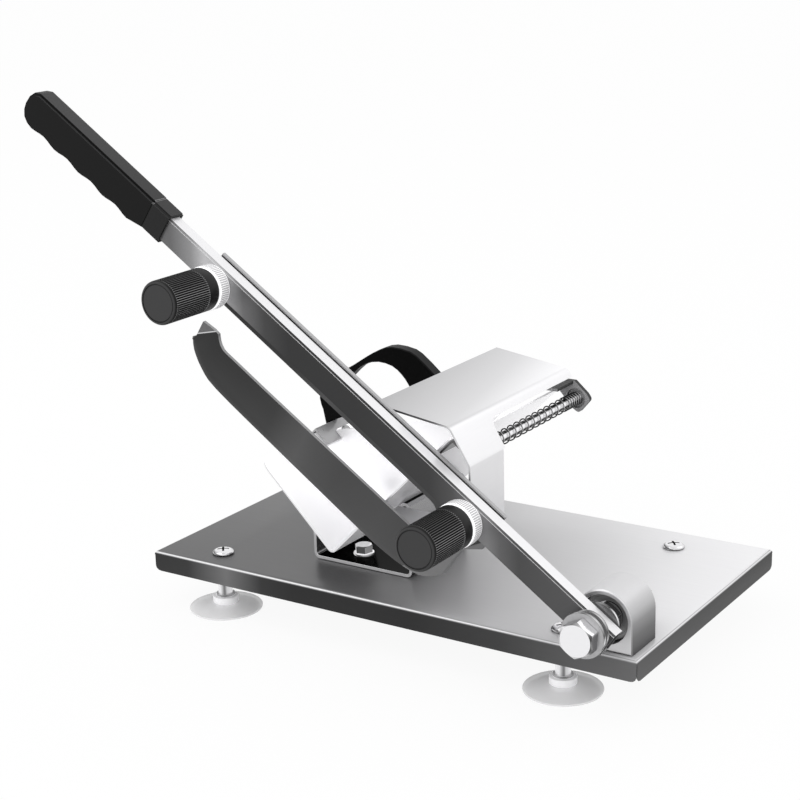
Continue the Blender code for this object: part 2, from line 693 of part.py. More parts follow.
def pivot_stack():
    """Depths of the pivot bolt's stack in the lever frame, from the tube outwards."""
    depth = {}
    level = TUBE_FRONT + SEAT_GAP
    depth["front_washer"] = level
    level += FRONT_WASHER_THICKNESS + SEAT_GAP
    depth["spring_washer"] = level
    level += SPRING_WASHER_THICKNESS + SEAT_GAP
    depth["head_washer"] = level
    level += HEAD_WASHER_THICKNESS + SEAT_GAP
    depth["head"] = level
    level = TUBE_BACK - SEAT_GAP - BACK_WASHER_THICKNESS
    depth["back_washer"] = level
    level -= SEAT_GAP + JAM_NUT_HEIGHT
    depth["jam_nut"] = level
    level = -BLOCK_BACK_Y - SEAT_GAP - REAR_WASHER_THICKNESS
    depth["rear_washer"] = level
    level -= SEAT_GAP + REAR_NUT_HEIGHT
    depth["rear_nut"] = level
    depth["tail"] = level - BOLT_TAIL
    return depth


def pivot_bolt(parent, finish, depth):
    """Hex head bolt through the lever, its washers and both bearings."""
    head, tail = depth["head"], depth["tail"]
    bm = bmesh.new()
    verts = [bm.verts.new((x, y, head)) for x, y in hex_outline(HEX_FLATS)]
    grown = bmesh.ops.extrude_face_region(bm, geom=[bm.faces.new(verts)])
    lifted = [item for item in grown["geom"] if isinstance(item, bmesh.types.BMVert)]
    bmesh.ops.translate(bm, verts=lifted, vec=(0, 0, HEX_HEAD_HEIGHT))
    piece = place("pivot_bolt", bm, finish, parent, turn=LEVER_FRONT, smooth=CREASE)
    chamfer = hex_chamfer(HEX_FLATS, head, head + HEX_HEAD_HEIGHT, HEX_CHAMFER, BEARING_SIDES)
    combine(piece, chamfer, "INTERSECT")
    combine(piece, disc(PIVOT_BOLT_RADIUS, tail, head + HEX_HEAD_HEIGHT / 2, BEARING_SIDES), "UNION")
    return piece


def spring_washer(parent, finish, low):
    """Split washer: a ring with one slanted gap."""
    bm = tube_ring(PIVOT_BOLT_RADIUS + WASHER_BORE_GAP, SPRING_WASHER_RADIUS, low,
                   low + SPRING_WASHER_THICKNESS, BOLT_SIDES)
    piece = place("pivot_spring_washer", bm, finish, parent, turn=LEVER_FRONT, smooth=CREASE)
    half = SPRING_WASHER_SPLIT / 2
    lean = SPRING_WASHER_THICKNESS / 2
    level = low + SPRING_WASHER_THICKNESS / 2
    slot = prism([(-half - lean, -SPRING_WASHER_THICKNESS), (half - lean, -SPRING_WASHER_THICKNESS),
                  (half + lean, SPRING_WASHER_THICKNESS), (-half + lean, SPRING_WASHER_THICKNESS)],
                 0, SPRING_WASHER_RADIUS + OVERRUN)
    combine(piece, slot, at=(0, 0, level))
    return piece


def lever_tube(parent, finish):
    """Square tube, open at its lower end, drilled for the pivot bolt and the two studs."""
    half = TUBE_HEIGHT / 2
    bm = box((-TUBE_TAIL, TUBE_BACK, -half), (TUBE_REACH, TUBE_FRONT, half))
    long_edges = [e for e in bm.edges if abs(e.verts[0].co.x - e.verts[1].co.x) > TUBE_TAIL]
    bmesh.ops.bevel(bm, geom=long_edges, offset=TUBE_CORNER, segments=3, affect="EDGES")
    piece = place("lever_tube", bm, finish, parent, smooth=CREASE)
    bore = box((-TUBE_TAIL - OVERRUN, TUBE_BACK + TUBE_WALL, -half + TUBE_WALL),
               (TUBE_REACH + OVERRUN, TUBE_FRONT - TUBE_WALL, half - TUBE_WALL))
    combine(piece, bore)
    bolt_hole = PIVOT_BOLT_RADIUS + WASHER_BORE_GAP
    combine(piece, disc(bolt_hole, TUBE_BACK - OVERRUN, TUBE_FRONT + OVERRUN, BOLT_SIDES), turn=LEVER_FRONT)
    for reach in (KNOB_LOWER_REACH, KNOB_UPPER_REACH):
        combine(piece, disc(STUD_RADIUS + THREAD_GAP, TUBE_BACK - OVERRUN, TUBE_FRONT + OVERRUN, ROD_SIDES),
                at=(reach, 0, -KNOB_DROP), turn=LEVER_FRONT)
    return piece


def handle_collar(parent, finish):
    """Moulded collar where the tube enters the handle."""
    low = (COLLAR_START, GRIP_BACK, -COLLAR_BOTTOM)
    high = (COLLAR_START + COLLAR_LENGTH, GRIP_FRONT, COLLAR_TOP)
    bm = box(low, high)
    long_edges = [e for e in bm.edges if abs(e.verts[0].co.x - e.verts[1].co.x) > COLLAR_LENGTH / 2]
    bmesh.ops.bevel(bm, geom=long_edges, offset=GRIP_EDGE, segments=3, affect="EDGES")
    piece = place("handle_collar", bm, finish, parent, smooth=CREASE)
    combine(piece, tube_socket(COLLAR_START - OVERRUN, COLLAR_START + COLLAR_LENGTH + OVERRUN))
    return piece


def tube_socket(start, end):
    """The space that the tube fills in the collar and grip, with its seat gap."""
    half = TUBE_HEIGHT / 2 + SEAT_GAP
    return box((start, TUBE_BACK - SEAT_GAP, -half), (end, TUBE_FRONT + SEAT_GAP, half))


def handle_grip(parent, finish):
    """Moulded grip with finger hollows below, a flat top and a rounded end."""
    start = COLLAR_START + COLLAR_LENGTH + SEAT_GAP
    finger_start = start + GRIP_CREST
    finger_end = GRIP_END - GRIP_END_RADIUS
    pitch = (finger_end - finger_start) / GRIP_FINGERS
    samples = 6 * GRIP_FINGERS
    middle = (GRIP_CREST + GRIP_HOLLOW) / 2
    swing = (GRIP_CREST - GRIP_HOLLOW) / 2
    reaches = [finger_start + pitch * GRIP_FINGERS * i / samples for i in range(samples + 1)]
    below = [(reach, -middle - swing * math.cos(2 * math.pi * (reach - finger_start) / pitch))
             for reach in reaches]
    tall = (GRIP_TOP + GRIP_CREST) / 2
    centre = (GRIP_TOP - GRIP_CREST) / 2
    end_shares = ((0.40, -0.93), (0.74, -0.74), (0.94, -0.42), (1.0, -0.05),
                  (0.93, 0.42), (0.70, 0.80), (0.30, 1.0))
    end = [(finger_end + GRIP_END_RADIUS * a, centre + tall * b) for a, b in end_shares]
    outline = [(start, -COLLAR_BOTTOM)] + below + end + [(start, GRIP_TOP)]
    bm = prism(outline, GRIP_BACK, GRIP_FRONT)
    long_edges = [e for e in bm.edges
                  if abs(e.verts[0].co.y - e.verts[1].co.y) < MERGE
                  and abs(e.verts[0].co.x - start) + abs(e.verts[1].co.x - start) > MERGE]
    bmesh.ops.bevel(bm, geom=long_edges, offset=GRIP_EDGE, segments=2, affect="EDGES", clamp_overlap=True)
    piece = place("handle_grip", bm, finish, parent, smooth=math.radians(50))
    combine(piece, tube_socket(start - OVERRUN, TUBE_REACH + SEAT_GAP))
    return piece


def blade_lines():
    """Lines of the blade's outline in the lever frame: the spine, cutting edge, tip and hollow."""
    heel = BLADE_SPINE_START + BLADE_HEEL_INSET
    top = TUBE_HEIGHT / 2 + BLADE_SPINE_RISE
    edge_shares = ((0.0, 0.695), (0.042, 0.873), (0.107, 0.957), (0.224, 0.996), (0.395, 1.0), (0.640, 0.996),
                   (0.856, 0.985), (0.924, 0.936), (0.975, 0.842), (1.0, 0.744))
    tip_shares = ((0.987, 0.689), (0.989, 0.530), (0.947, 0.515))
    hook_shares = ((0.929, 0.519), (0.916, 0.566), (0.893, 0.609), (0.850, 0.612), (0.726, 0.612))
    low_share = 0.589

    def at(share):
        return (heel + share[0] * BLADE_REACH, -share[1] * BLADE_EDGE_DROP)

    spine = [(BLADE_SPINE_END, top), (BLADE_SPINE_START, top), (BLADE_SPINE_START, -BLADE_SPINE_DROP),
             (heel, -BLADE_SPINE_DROP - BLADE_HEEL_INSET)]
    edge = smooth_line([at(share) for share in edge_shares], 3)
    tip = [at(share) for share in tip_shares]
    hook = smooth_line([at(share) for share in hook_shares], 2)
    low = -low_share * BLADE_EDGE_DROP
    corner = BLADE_THROAT_RADIUS
    throat = (arc((BLADE_THROAT_REACH + corner, low + corner), corner, 270, 180, 5)
              + arc((BLADE_THROAT_REACH + corner, -BLADE_SPINE_DROP - corner), corner, 180, 90, 5))
    return spine, edge, tip, hook + throat + [(BLADE_SPINE_END, -BLADE_SPINE_DROP)]


def blade(parent, finish):
    """Hooked blade: flat at the back, ground to a bevel along the front of its cutting edge."""
    spine, edge, tip, hollow = blade_lines()
    outline = spine + edge + tip + hollow
    first, last = len(spine), len(spine) + len(edge) - 1
    inner = []
    for i, point in enumerate(outline):
        here = Vector(point)
        if first <= i <= last:
            along = (Vector(outline[i + 1]) - Vector(outline[i - 1])).normalized()
            grow = min(1, (i - first + 1) / 3, (last - i + 1) / 3)
            here += Vector((-along.y, along.x)) * BLADE_BEVEL * grow
        inner.append(here)
    bm = bmesh.new()
    land = BLADE_FRONT - BLADE_BEVEL_DEPTH
    rings = [[bm.verts.new((x, BLADE_BACK, z)) for x, z in outline],
             [bm.verts.new((x, land, z)) for x, z in outline],
             [bm.verts.new((x, BLADE_FRONT, z)) for x, z in inner]]
    bm.faces.new(rings[0])
    bm.faces.new(rings[2])
    for low, high in zip(rings, rings[1:]):
        for i in range(len(outline)):
            bm.faces.new((low[i - 1], low[i], high[i], high[i - 1]))
    piece = place("blade", bm, finish, parent, smooth=math.radians(20))
    for reach in (KNOB_LOWER_REACH, KNOB_UPPER_REACH):
        combine(piece, disc(STUD_RADIUS + THREAD_GAP, BLADE_BACK - OVERRUN, BLADE_FRONT + OVERRUN, ROD_SIDES),
                at=(reach, 0, -KNOB_DROP), turn=LEVER_FRONT)
    return piece


# Clamp knobs

def ribbed(profile, ribs, depth):
    """Turn a closed profile of (radius, height, ribbed) about Z, with ribs where the profile says so."""
    bm = bmesh.new()
    rings = []
    for radius, height, has_ribs in profile:
        ring = []
        for i in range(2 * ribs):
            r = radius - depth * (has_ribs and i % 2)
            angle = math.pi * i / ribs
            ring.append(bm.verts.new((r * math.cos(angle), r * math.sin(angle), height)))
        rings.append(ring)
    for k in range(len(rings)):
        low, high = rings[k - 1], rings[k]
        if profile[k - 1][0] == 0 and profile[k][0] == 0:
            continue
        for i in range(2 * ribs):
            bm.faces.new((low[i - 1], low[i], high[i], high[i - 1]))
    bmesh.ops.remove_doubles(bm, verts=bm.verts, dist=MERGE)
    return bm


def knob_levels():
    """Depths of the lock ring and the knob in the lever frame."""
    ring = TUBE_FRONT + SEAT_GAP
    knob = ring + LOCK_RING_WIDTH + SEAT_GAP
    return ring, knob


def stud(name, parent, finish):
    """Stud from the blade through the tube and the lock ring into the knob."""
    end = knob_levels()[1] + STUD_GRIP
    return place(name, disc(STUD_RADIUS, BLADE_BACK, end, ROD_SIDES), finish, parent,
                 turn=LEVER_FRONT, smooth=CREASE)


def lock_ring(name, parent, finish):
    """Knurled ring that locks a knob's stud."""
    low = knob_levels()[0]
    high = low + LOCK_RING_WIDTH
    bore = STUD_RADIUS + RUNNING_GAP
    outer = LOCK_RING_RADIUS
    inner = outer - LOCK_RING_EDGE - LOCK_RING_RIB
    profile = [(bore, high, False), (bore, low, False), (inner, low, False),
               (outer, low + LOCK_RING_EDGE, True), (outer, high - LOCK_RING_EDGE, True), (inner, high, False)]
    return place(name, ribbed(profile, LOCK_RING_RIBS, LOCK_RING_RIB), finish, parent,
                 turn=LEVER_FRONT, smooth=math.radians(15))


def knob(name, parent, finish):
    """Ribbed knob with a plain skirt, a rim round its face and a blind bore."""
    low = knob_levels()[1]
    high = low + KNOB_LENGTH
    bore = STUD_RADIUS + RUNNING_GAP
    deep = low + STUD_GRIP + SEAT_GAP
    radius = KNOB_RADIUS
    rim = radius - KNOB_EDGE - KNOB_RIB
    well = rim - KNOB_FACE_RIM
    profile = [(0, deep, False), (bore, deep, False), (bore, low, False), (rim, low, False),
               (radius, low + KNOB_EDGE, False), (radius, low + KNOB_SKIRT, False),
               (radius, low + KNOB_SKIRT + KNOB_RIB, True), (radius, high - 2 * KNOB_EDGE, True),
               (radius - KNOB_RIB, high - KNOB_EDGE, False), (rim, high, False), (well, high, False),
               (well, high - KNOB_FACE_STEP, False), (0, high - KNOB_FACE_STEP, False)]
    return place(name, ribbed(profile, KNOB_RIBS, KNOB_RIB), finish, parent,
                 turn=LEVER_FRONT, smooth=math.radians(15))


# Trough

def wall_turn(side):
    """Rotation that lays a prism flat on a trough wall: X up the wall, Z along the trough."""
    up = Vector((side * DIAGONAL, 0, DIAGONAL))
    along = Vector((0, 1, 0))
    square = along.cross(up)
    return Matrix((up, square, along)).transposed().to_euler()


def wall_corner(length, edge_y, radius, ahead):
    """Cutter that rounds a wall's top corner; ahead is 1 where the wall lies behind the edge."""
    out = edge_y - ahead * OVERRUN
    start = (length - radius, edge_y)
    round_off = [(start[0] + radius * math.sin(math.radians(a)),
                  edge_y + ahead * radius * (1 - math.cos(math.radians(a)))) for a in (0, 18, 36, 54, 72, 90)]
    outline = [(length - radius, out)] + round_off + [(length + OVERRUN, edge_y + ahead * radius),
                                                      (length + OVERRUN, out)]
    return prism(outline, -OVERRUN, OVERRUN)


def trough(parent, finish):
    """V trough of bent sheet, notched at the top right for the slide, drilled for its two screws."""
    line = bent([trough_point(-1, TROUGH_LEFT_WALL), trough_point(1, 0), trough_point(1, TROUGH_RIGHT_WALL)],
                TROUGH_BEND)
    piece = place("trough", prism(sheet_strip(line, TROUGH_SHEET), TROUGH_FRONT_Y, TROUGH_BACK_Y),
                  finish, parent, smooth=CREASE)
    foot = (TROUGH_BOTTOM_X, 0, TROUGH_BOTTOM_Z)
    for edge_y, ahead in ((TROUGH_FRONT_Y, 1), (TROUGH_BACK_Y, -1)):
        corner = wall_corner(TROUGH_LEFT_WALL, edge_y, TROUGH_CORNER, ahead)
        combine(piece, corner, at=foot, turn=wall_turn(-1))
    notch_low = TROUGH_RIGHT_WALL - TROUGH_NOTCH_DEPTH
    notch_high = TROUGH_RIGHT_WALL + OVERRUN
    notch_back = TROUGH_BACK_Y + OVERRUN
    notch = rounded([(notch_low, TROUGH_NOTCH_FRONT_Y), (notch_high, TROUGH_NOTCH_FRONT_Y),
                     (notch_high, notch_back), (notch_low, notch_back)], [TROUGH_NOTCH_ROUND, 0, 0, 0])
    combine(piece, prism(notch, -OVERRUN, OVERRUN), at=foot, turn=wall_turn(1))
    for side in (-1, 1):
        hole = disc(SMALL_BOLT_RADIUS + THREAD_GAP, -OVERRUN, OVERRUN, ROD_SIDES)
        combine(piece, hole, **wall_seat(side, 0))
    return piece


def wall_seat(side, out):
    """Place and turn of a turned piece whose axis stands square on a trough wall, at its screw."""
    x, z = trough_point(side, WALL_BOLT_RISE, out)
    return {"at": (x, WALL_BOLT_Y, z), "turn": (0, math.radians(-45 * side), 0)}


def hood(parent, finish):
    """Hood over the feed rod: top panel, sloping face, short skirt and a flange back to the wall."""
    inset = TROUGH_SHEET / 2
    slope = Vector((HOOD_SLOPE_X - HOOD_BEND_X, HOOD_SLOPE_Z - HOOD_BEND_Z)).normalized()
    flange_z = HOOD_SKIRT_BOTTOM_Z + inset
    wall_outside = TROUGH_BOTTOM_X - TROUGH_BOTTOM_Z + (WALL_HALF + SEAT_GAP) / DIAGONAL
    flange_x = flange_z + inset + wall_outside
    corners = [(HOOD_LEFT_X, HOOD_LEFT_Z - inset), (HOOD_BEND_X, HOOD_BEND_Z - inset),
               (HOOD_SLOPE_X - inset, HOOD_SLOPE_Z - inset * slope.x), (HOOD_SLOPE_X - inset, flange_z),
               (flange_x, flange_z)]
    line = bent(corners, HOOD_BEND_RADIUS)
    piece = place("hood", prism(sheet_strip(line, TROUGH_SHEET), TROUGH_FRONT_Y, TROUGH_BACK_Y),
                  finish, parent, smooth=CREASE)
    window_top = HOOD_BEND_Z + slope.y * HOOD_WINDOW_TOP
    low = -OVERRUN
    back = TROUGH_BACK_Y + OVERRUN
    outline = rounded([(HOOD_SKIRT_BACK_Y, low), (HOOD_SKIRT_BACK_Y, HOOD_SLOPE_Z),
                       (HOOD_WINDOW_FRONT_Y, HOOD_SLOPE_Z), (HOOD_WINDOW_FRONT_Y, window_top),
                       (back, window_top), (back, low)], [0, 0, 0, HOOD_WINDOW_ROUND, 0, 0])
    window = prism(outline, -HOOD_SLOPE_X - OVERRUN, -flange_x + OVERRUN)
    combine(piece, window, turn=(0, 0, math.radians(90)))
    return piece


# Bracket and small bolts

def trough_bracket(parent, finish):
    """Bent bracket: a foot on the tray, two uprights and two tabs under the trough's walls."""
    half = BRACKET_SHEET / 2
    out = -(WALL_HALF + SEAT_GAP + half)
    left_x = BRACKET_LEFT_X + half
    right_x = BRACKET_RIGHT_X - half
    left_rise = (TROUGH_BOTTOM_X - left_x) / DIAGONAL + out
    right_rise = (right_x - TROUGH_BOTTOM_X) / DIAGONAL + out
    foot_z = SEAT_GAP + half
    corners = [trough_point(-1, WALL_TAB_RISE, out), trough_point(-1, left_rise, out), (left_x, foot_z),
               (right_x, foot_z), trough_point(1, right_rise, out), trough_point(1, WALL_TAB_RISE, out)]
    line = bent(corners, BRACKET_BEND)
    piece = place("trough_bracket", prism(sheet_strip(line, BRACKET_SHEET), BRACKET_FRONT_Y,
                                          BRACKET_FRONT_Y + BRACKET_LENGTH), finish, parent, smooth=CREASE)
    for x, y in BRACKET_BOLTS.values():
        hole = disc(SMALL_BOLT_RADIUS + THREAD_GAP, 0, foot_z + half + OVERRUN, ROD_SIDES)
        combine(piece, hole, at=(x, y, 0))
    for side in (-1, 1):
        hole = disc(SMALL_BOLT_RADIUS + THREAD_GAP, -OVERRUN, OVERRUN, ROD_SIDES)
        combine(piece, hole, **wall_seat(side, out))
    return piece


def bracket_bolt(place_name, parent, finishes):
    """Hex bolt with its washer on the bracket's foot and its nut under the tray."""
    x, y = BRACKET_BOLTS[place_name]
    low = SEAT_GAP + BRACKET_SHEET + SEAT_GAP
    washer_bm = tube_ring(SMALL_BOLT_RADIUS + WASHER_BORE_GAP, SMALL_WASHER_RADIUS, low,
                          low + SMALL_WASHER_THICKNESS, BOLT_SIDES)
    place("bracket_washer_" + place_name, washer_bm, finishes["chrome"], parent, at=(x, y, 0), smooth=CREASE)
    head = low + SMALL_WASHER_THICKNESS + SEAT_GAP
    under = -TRAY_SHEET - SEAT_GAP
    bm = bmesh.new()
    verts = [bm.verts.new((a, b, head)) for a, b in hex_outline(SMALL_HEX_FLATS)]
    grown = bmesh.ops.extrude_face_region(bm, geom=[bm.faces.new(verts)])
    lifted = [item for item in grown["geom"] if isinstance(item, bmesh.types.BMVert)]
    bmesh.ops.translate(bm, verts=lifted, vec=(0, 0, SMALL_HEX_HEIGHT))
    bolt = place("bracket_bolt_" + place_name, bm, finishes["chrome"], parent, at=(x, y, 0), smooth=CREASE)
    combine(bolt, hex_chamfer(SMALL_HEX_FLATS, head, head + SMALL_HEX_HEIGHT, HEX_CHAMFER / 2, BOLT_SIDES),
            "INTERSECT")
    tip = under - SMALL_HEX_HEIGHT - SMALL_BOLT_TAIL
    combine(bolt, disc(SMALL_BOLT_RADIUS, tip, head + SMALL_HEX_HEIGHT / 2, ROD_SIDES), "UNION")
    nut = hex_nut(SMALL_HEX_FLATS, under - SMALL_HEX_HEIGHT, under, SMALL_BOLT_RADIUS + THREAD_GAP, ROD_SIDES)
    place("bracket_nut_" + place_name, nut, finishes["chrome"], parent, at=(x, y, 0), smooth=CREASE)


def wall_screw(name, side, parent, finish):
    """Low headed screw inside the trough, with its nut under the bracket's tab."""
    inside = WALL_HALF + SEAT_GAP
    outside = -WALL_HALF - SEAT_GAP - BRACKET_SHEET - SEAT_GAP
    tip = outside - SMALL_HEX_HEIGHT - SMALL_BOLT_TAIL
    profile = [(0, tip), (SMALL_BOLT_RADIUS, tip), (SMALL_BOLT_RADIUS, inside),
               (WALL_SCREW_HEAD_RADIUS, inside), (WALL_SCREW_HEAD_RADIUS, inside + WALL_SCREW_HEAD_HEIGHT / 2),
               (WALL_SCREW_HEAD_RADIUS - WALL_SCREW_HEAD_HEIGHT, inside + WALL_SCREW_HEAD_HEIGHT),
               (0, inside + WALL_SCREW_HEAD_HEIGHT)]
    seat = wall_seat(side, 0)
    bore = SMALL_BOLT_RADIUS + THREAD_GAP
    place("trough_screw_" + name, turned(profile, ROD_SIDES), finish, parent, smooth=CREASE, **seat)
    nut = hex_nut(SMALL_HEX_FLATS, outside - SMALL_HEX_HEIGHT, outside, bore, ROD_SIDES)
    place("trough_nut_" + name, nut, finish, parent, smooth=CREASE, **seat)


# Feed rod, holder, spring and slide

def slope_point(reach, inside):
    """A point under the hood's sloping face: reach down from the bend, inside from its outer face."""
    slope = Vector((HOOD_SLOPE_X - HOOD_BEND_X, HOOD_SLOPE_Z - HOOD_BEND_Z)).normalized()
    return (HOOD_BEND_X + slope.x * reach + slope.y * inside,
            HOOD_BEND_Z + slope.y * reach - slope.x * inside)


def rod_holder(parent, finish):
    """Bent strip between the wall's back and the hood, with a lug that holds the rod's front end."""
    half = HOLDER_STRIP / 2
    out = -(WALL_HALF + SEAT_GAP + half)
    inside = TROUGH_SHEET + SEAT_GAP + half
    line = bent([trough_point(1, TROUGH_RIGHT_WALL - HOLDER_TAB, out),
                 trough_point(1, TROUGH_RIGHT_WALL, out), slope_point(HOLDER_SLOPE_REACH, inside)],
                HOLDER_STRIP, 3)
    piece = place("rod_holder", prism(sheet_strip(line, HOLDER_STRIP), HOLDER_FRONT_Y, HOLDER_BACK_Y),
                  finish, parent, smooth=CREASE)
    gap = TROUGH_SHEET + SEAT_GAP
    skirt = HOOD_SLOPE_X - gap
    foot_z = ROD_Z - HOLDER_FOOT
    slope_length = math.dist((HOOD_SLOPE_X, HOOD_SLOPE_Z), (HOOD_BEND_X, HOOD_BEND_Z))
    lug = [trough_point(1, TROUGH_RIGHT_WALL - HOLDER_TAB, out),
           trough_point(1, TROUGH_RIGHT_WALL - half, out), slope_point(HOLDER_SLOPE_REACH / 2, gap),
           slope_point(slope_length - gap, gap), (skirt, ROD_Z - HOLDER_FOOT / 2),
           (skirt - HOLDER_FOOT / 3, foot_z), (ROD_X - HOLDER_FOOT, foot_z)]
    combine(piece, prism(lug, HOLDER_BACK_Y - HOLDER_LUG, HOLDER_BACK_Y), "UNION")
    back = -HOLDER_BACK_Y
    hole = disc(ROD_SPIGOT_RADIUS + THREAD_GAP, back - OVERRUN, back + HOLDER_LUG + OVERRUN, ROD_SIDES)
    combine(piece, hole, at=(ROD_X, 0, ROD_Z), turn=FACE_FRONT)
    return piece


def guide_rod(parent, finish):
    """Round rod with spigots for the holder's lug and the stop nut; the slide runs on it."""
    shoulder = -HOLDER_BACK_Y - SEAT_GAP
    front = -HOLDER_BACK_Y + HOLDER_LUG + ROD_TAIL
    stop = -SLIDE_BACK_Y
    back = stop - SEAT_GAP - ROD_NUT_HEIGHT - ROD_TAIL
    profile = [(0, back), (ROD_SPIGOT_RADIUS, back), (ROD_SPIGOT_RADIUS, stop), (ROD_RADIUS, stop),
               (ROD_RADIUS, shoulder), (ROD_SPIGOT_RADIUS, shoulder), (ROD_SPIGOT_RADIUS, front), (0, front)]
    return place("guide_rod", turned(profile, ROD_SIDES), finish, parent, at=(ROD_X, 0, ROD_Z),
                 turn=FACE_FRONT, smooth=CREASE)


def rod_nut(parent, finish):
    """Nut that stops the slide at the rod's rear end."""
    front = -SLIDE_BACK_Y - SEAT_GAP
    bore = ROD_SPIGOT_RADIUS + THREAD_GAP
    bm = hex_nut(ROD_NUT_FLATS, front - ROD_NUT_HEIGHT, front, bore, ROD_SIDES)
    return place("rod_nut", bm, finish, parent, at=(ROD_X, 0, ROD_Z), turn=FACE_FRONT, smooth=CREASE)


def spring_points():
    """The wire's middle line: a close coil at the front, open coils, then close coils by the slide."""
    wire = SPRING_WIRE / 2
    front = HOLDER_BACK_Y + SEAT_GAP + wire
    back = SLIDE_FRONT_Y + SLIDE_SEAT_DEPTH - SEAT_GAP - wire
    ends = SPRING_TIGHT_PITCH * (1 + SPRING_TIGHT_COILS)
    open_pitch = (back - front - ends) / SPRING_OPEN_COILS
    turns = 1 + SPRING_OPEN_COILS + SPRING_TIGHT_COILS
    points = []
    for i in range(turns * SPRING_POINTS + 1):
        turn = i / SPRING_POINTS
        along = front + SPRING_TIGHT_PITCH * min(turn, 1)
        along += open_pitch * min(max(turn - 1, 0), SPRING_OPEN_COILS)
        along += SPRING_TIGHT_PITCH * max(turn - 1 - SPRING_OPEN_COILS, 0)
        angle = 2 * math.pi * turn
        points.append(Vector((ROD_X + SPRING_RADIUS * math.cos(angle), along,
                              ROD_Z + SPRING_RADIUS * math.sin(angle))))
    return points


def least_self_gap(points, neighbours, diameter):
    """Least gap between stretches of a wound tube that are more than some points apart."""
    least = min((a - b).length for i, a in enumerate(points) for b in points[i + neighbours:])
    return least - diameter


def return_spring(parent, finish):
    """Compression spring round the rod, as one unbroken wire."""
    points = spring_points()
    curve = bpy.data.curves.new("return_spring", "CURVE")
    curve.dimensions = "3D"
    curve.bevel_depth = SPRING_WIRE / 2
    curve.bevel_resolution = 1
    curve.use_fill_caps = True
    curve.materials.append(finish)
    spline = curve.splines.new("POLY")
    spline.points.add(len(points) - 1)
    for knot, point in zip(spline.points, points):
        knot.co = (*point, 1)
    spring = bpy.data.objects.new("return_spring", curve)
    bpy.context.collection.objects.link(spring)
    spring.parent = parent
    gap = least_self_gap(points, SPRING_POINTS // 2 + 1, SPRING_WIRE)
    print("return_spring: least gap to itself", round(gap * 1000, 2), "mm")
    return spring


def slide(parent, finish):
    """Slide on the rod: a plate with a sunk seat for the spring, a flange and an ear over the wall."""
    right_shares = ((1.0, 0.0), (0.2, -0.95), (-0.22, -0.70))
    shoulder_shares = ((0.75, 0.36),)
    reach = HOOD_SLOPE_X + SPRING_RADIUS / 2 - ROD_X
    top = ARM_BOTTOM_Z + ARM_THICKNESS
    wall_clear = -(WALL_HALF + 2 * SLIDING_GAP)
    outline = [(ROD_X + reach * a, ROD_Z + reach * b) for a, b in right_shares]
    outline += [trough_point(1, TROUGH_RIGHT_WALL - TROUGH_NOTCH_DEPTH, wall_clear),
                trough_point(1, TROUGH_RIGHT_WALL - TROUGH_NOTCH_DEPTH + 2 * SLIDING_GAP, -WALL_HALF),
                (ARM_RIGHT_X - SLIDING_GAP, top - SLIDE_EAR), (ARM_LEFT_X, top - SLIDE_EAR),
                (ARM_LEFT_X, top), (HOOD_BEND_X + SPRING_RADIUS, top)]
    outline += [(ROD_X + reach * a, ROD_Z + reach * b) for a, b in shoulder_shares]
    outline = rounded(outline, [SLIDE_FLANGE, SLIDE_FLANGE] + [0] * (len(outline) - 3) + [SLIDE_FLANGE], 2)
    piece = place("feed_slide", prism(outline, SLIDE_FRONT_Y, SLIDE_FRONT_Y + SLIDE_PLATE), finish, parent,
                  smooth=CREASE)
    flange_right = HOOD_BEND_X + SPRING_RADIUS - SLIDE_FLANGE / 2
    flange = box((ARM_RIGHT_X + SLIDING_GAP, SLIDE_FRONT_Y - SLIDE_FLANGE_LENGTH, top - SLIDE_FLANGE),
                 (flange_right, SLIDE_FRONT_Y + SLIDE_PLATE / 2, top - SEAT_GAP))
    combine(piece, flange, "UNION")
    floor = SLIDE_FRONT_Y + SLIDE_SEAT_DEPTH
    combine(piece, disc(SLIDE_SEAT_BORE, -floor, -SLIDE_FRONT_Y + OVERRUN, BOLT_SIDES),
            at=(ROD_X, 0, ROD_Z), turn=FACE_FRONT)
    combine(piece, disc(ROD_RADIUS + RUNNING_GAP * 2, -SLIDE_BACK_Y - OVERRUN, -SLIDE_FRONT_Y, ROD_SIDES),
            at=(ROD_X, 0, ROD_Z), turn=FACE_FRONT)
    return piece


# Pusher

def pusher_arm(parent, finish):
    """Flat bar from the slide's ear, over the wall, to the top of the pusher plate."""
    bm = box((ARM_LEFT_X, PUSHER_FRONT_Y, ARM_BOTTOM_Z),
             (ARM_RIGHT_X, SLIDE_FRONT_Y - SEAT_GAP, ARM_BOTTOM_Z + ARM_THICKNESS))
    return place("pusher_arm", bm, finish, parent, smooth=CREASE)


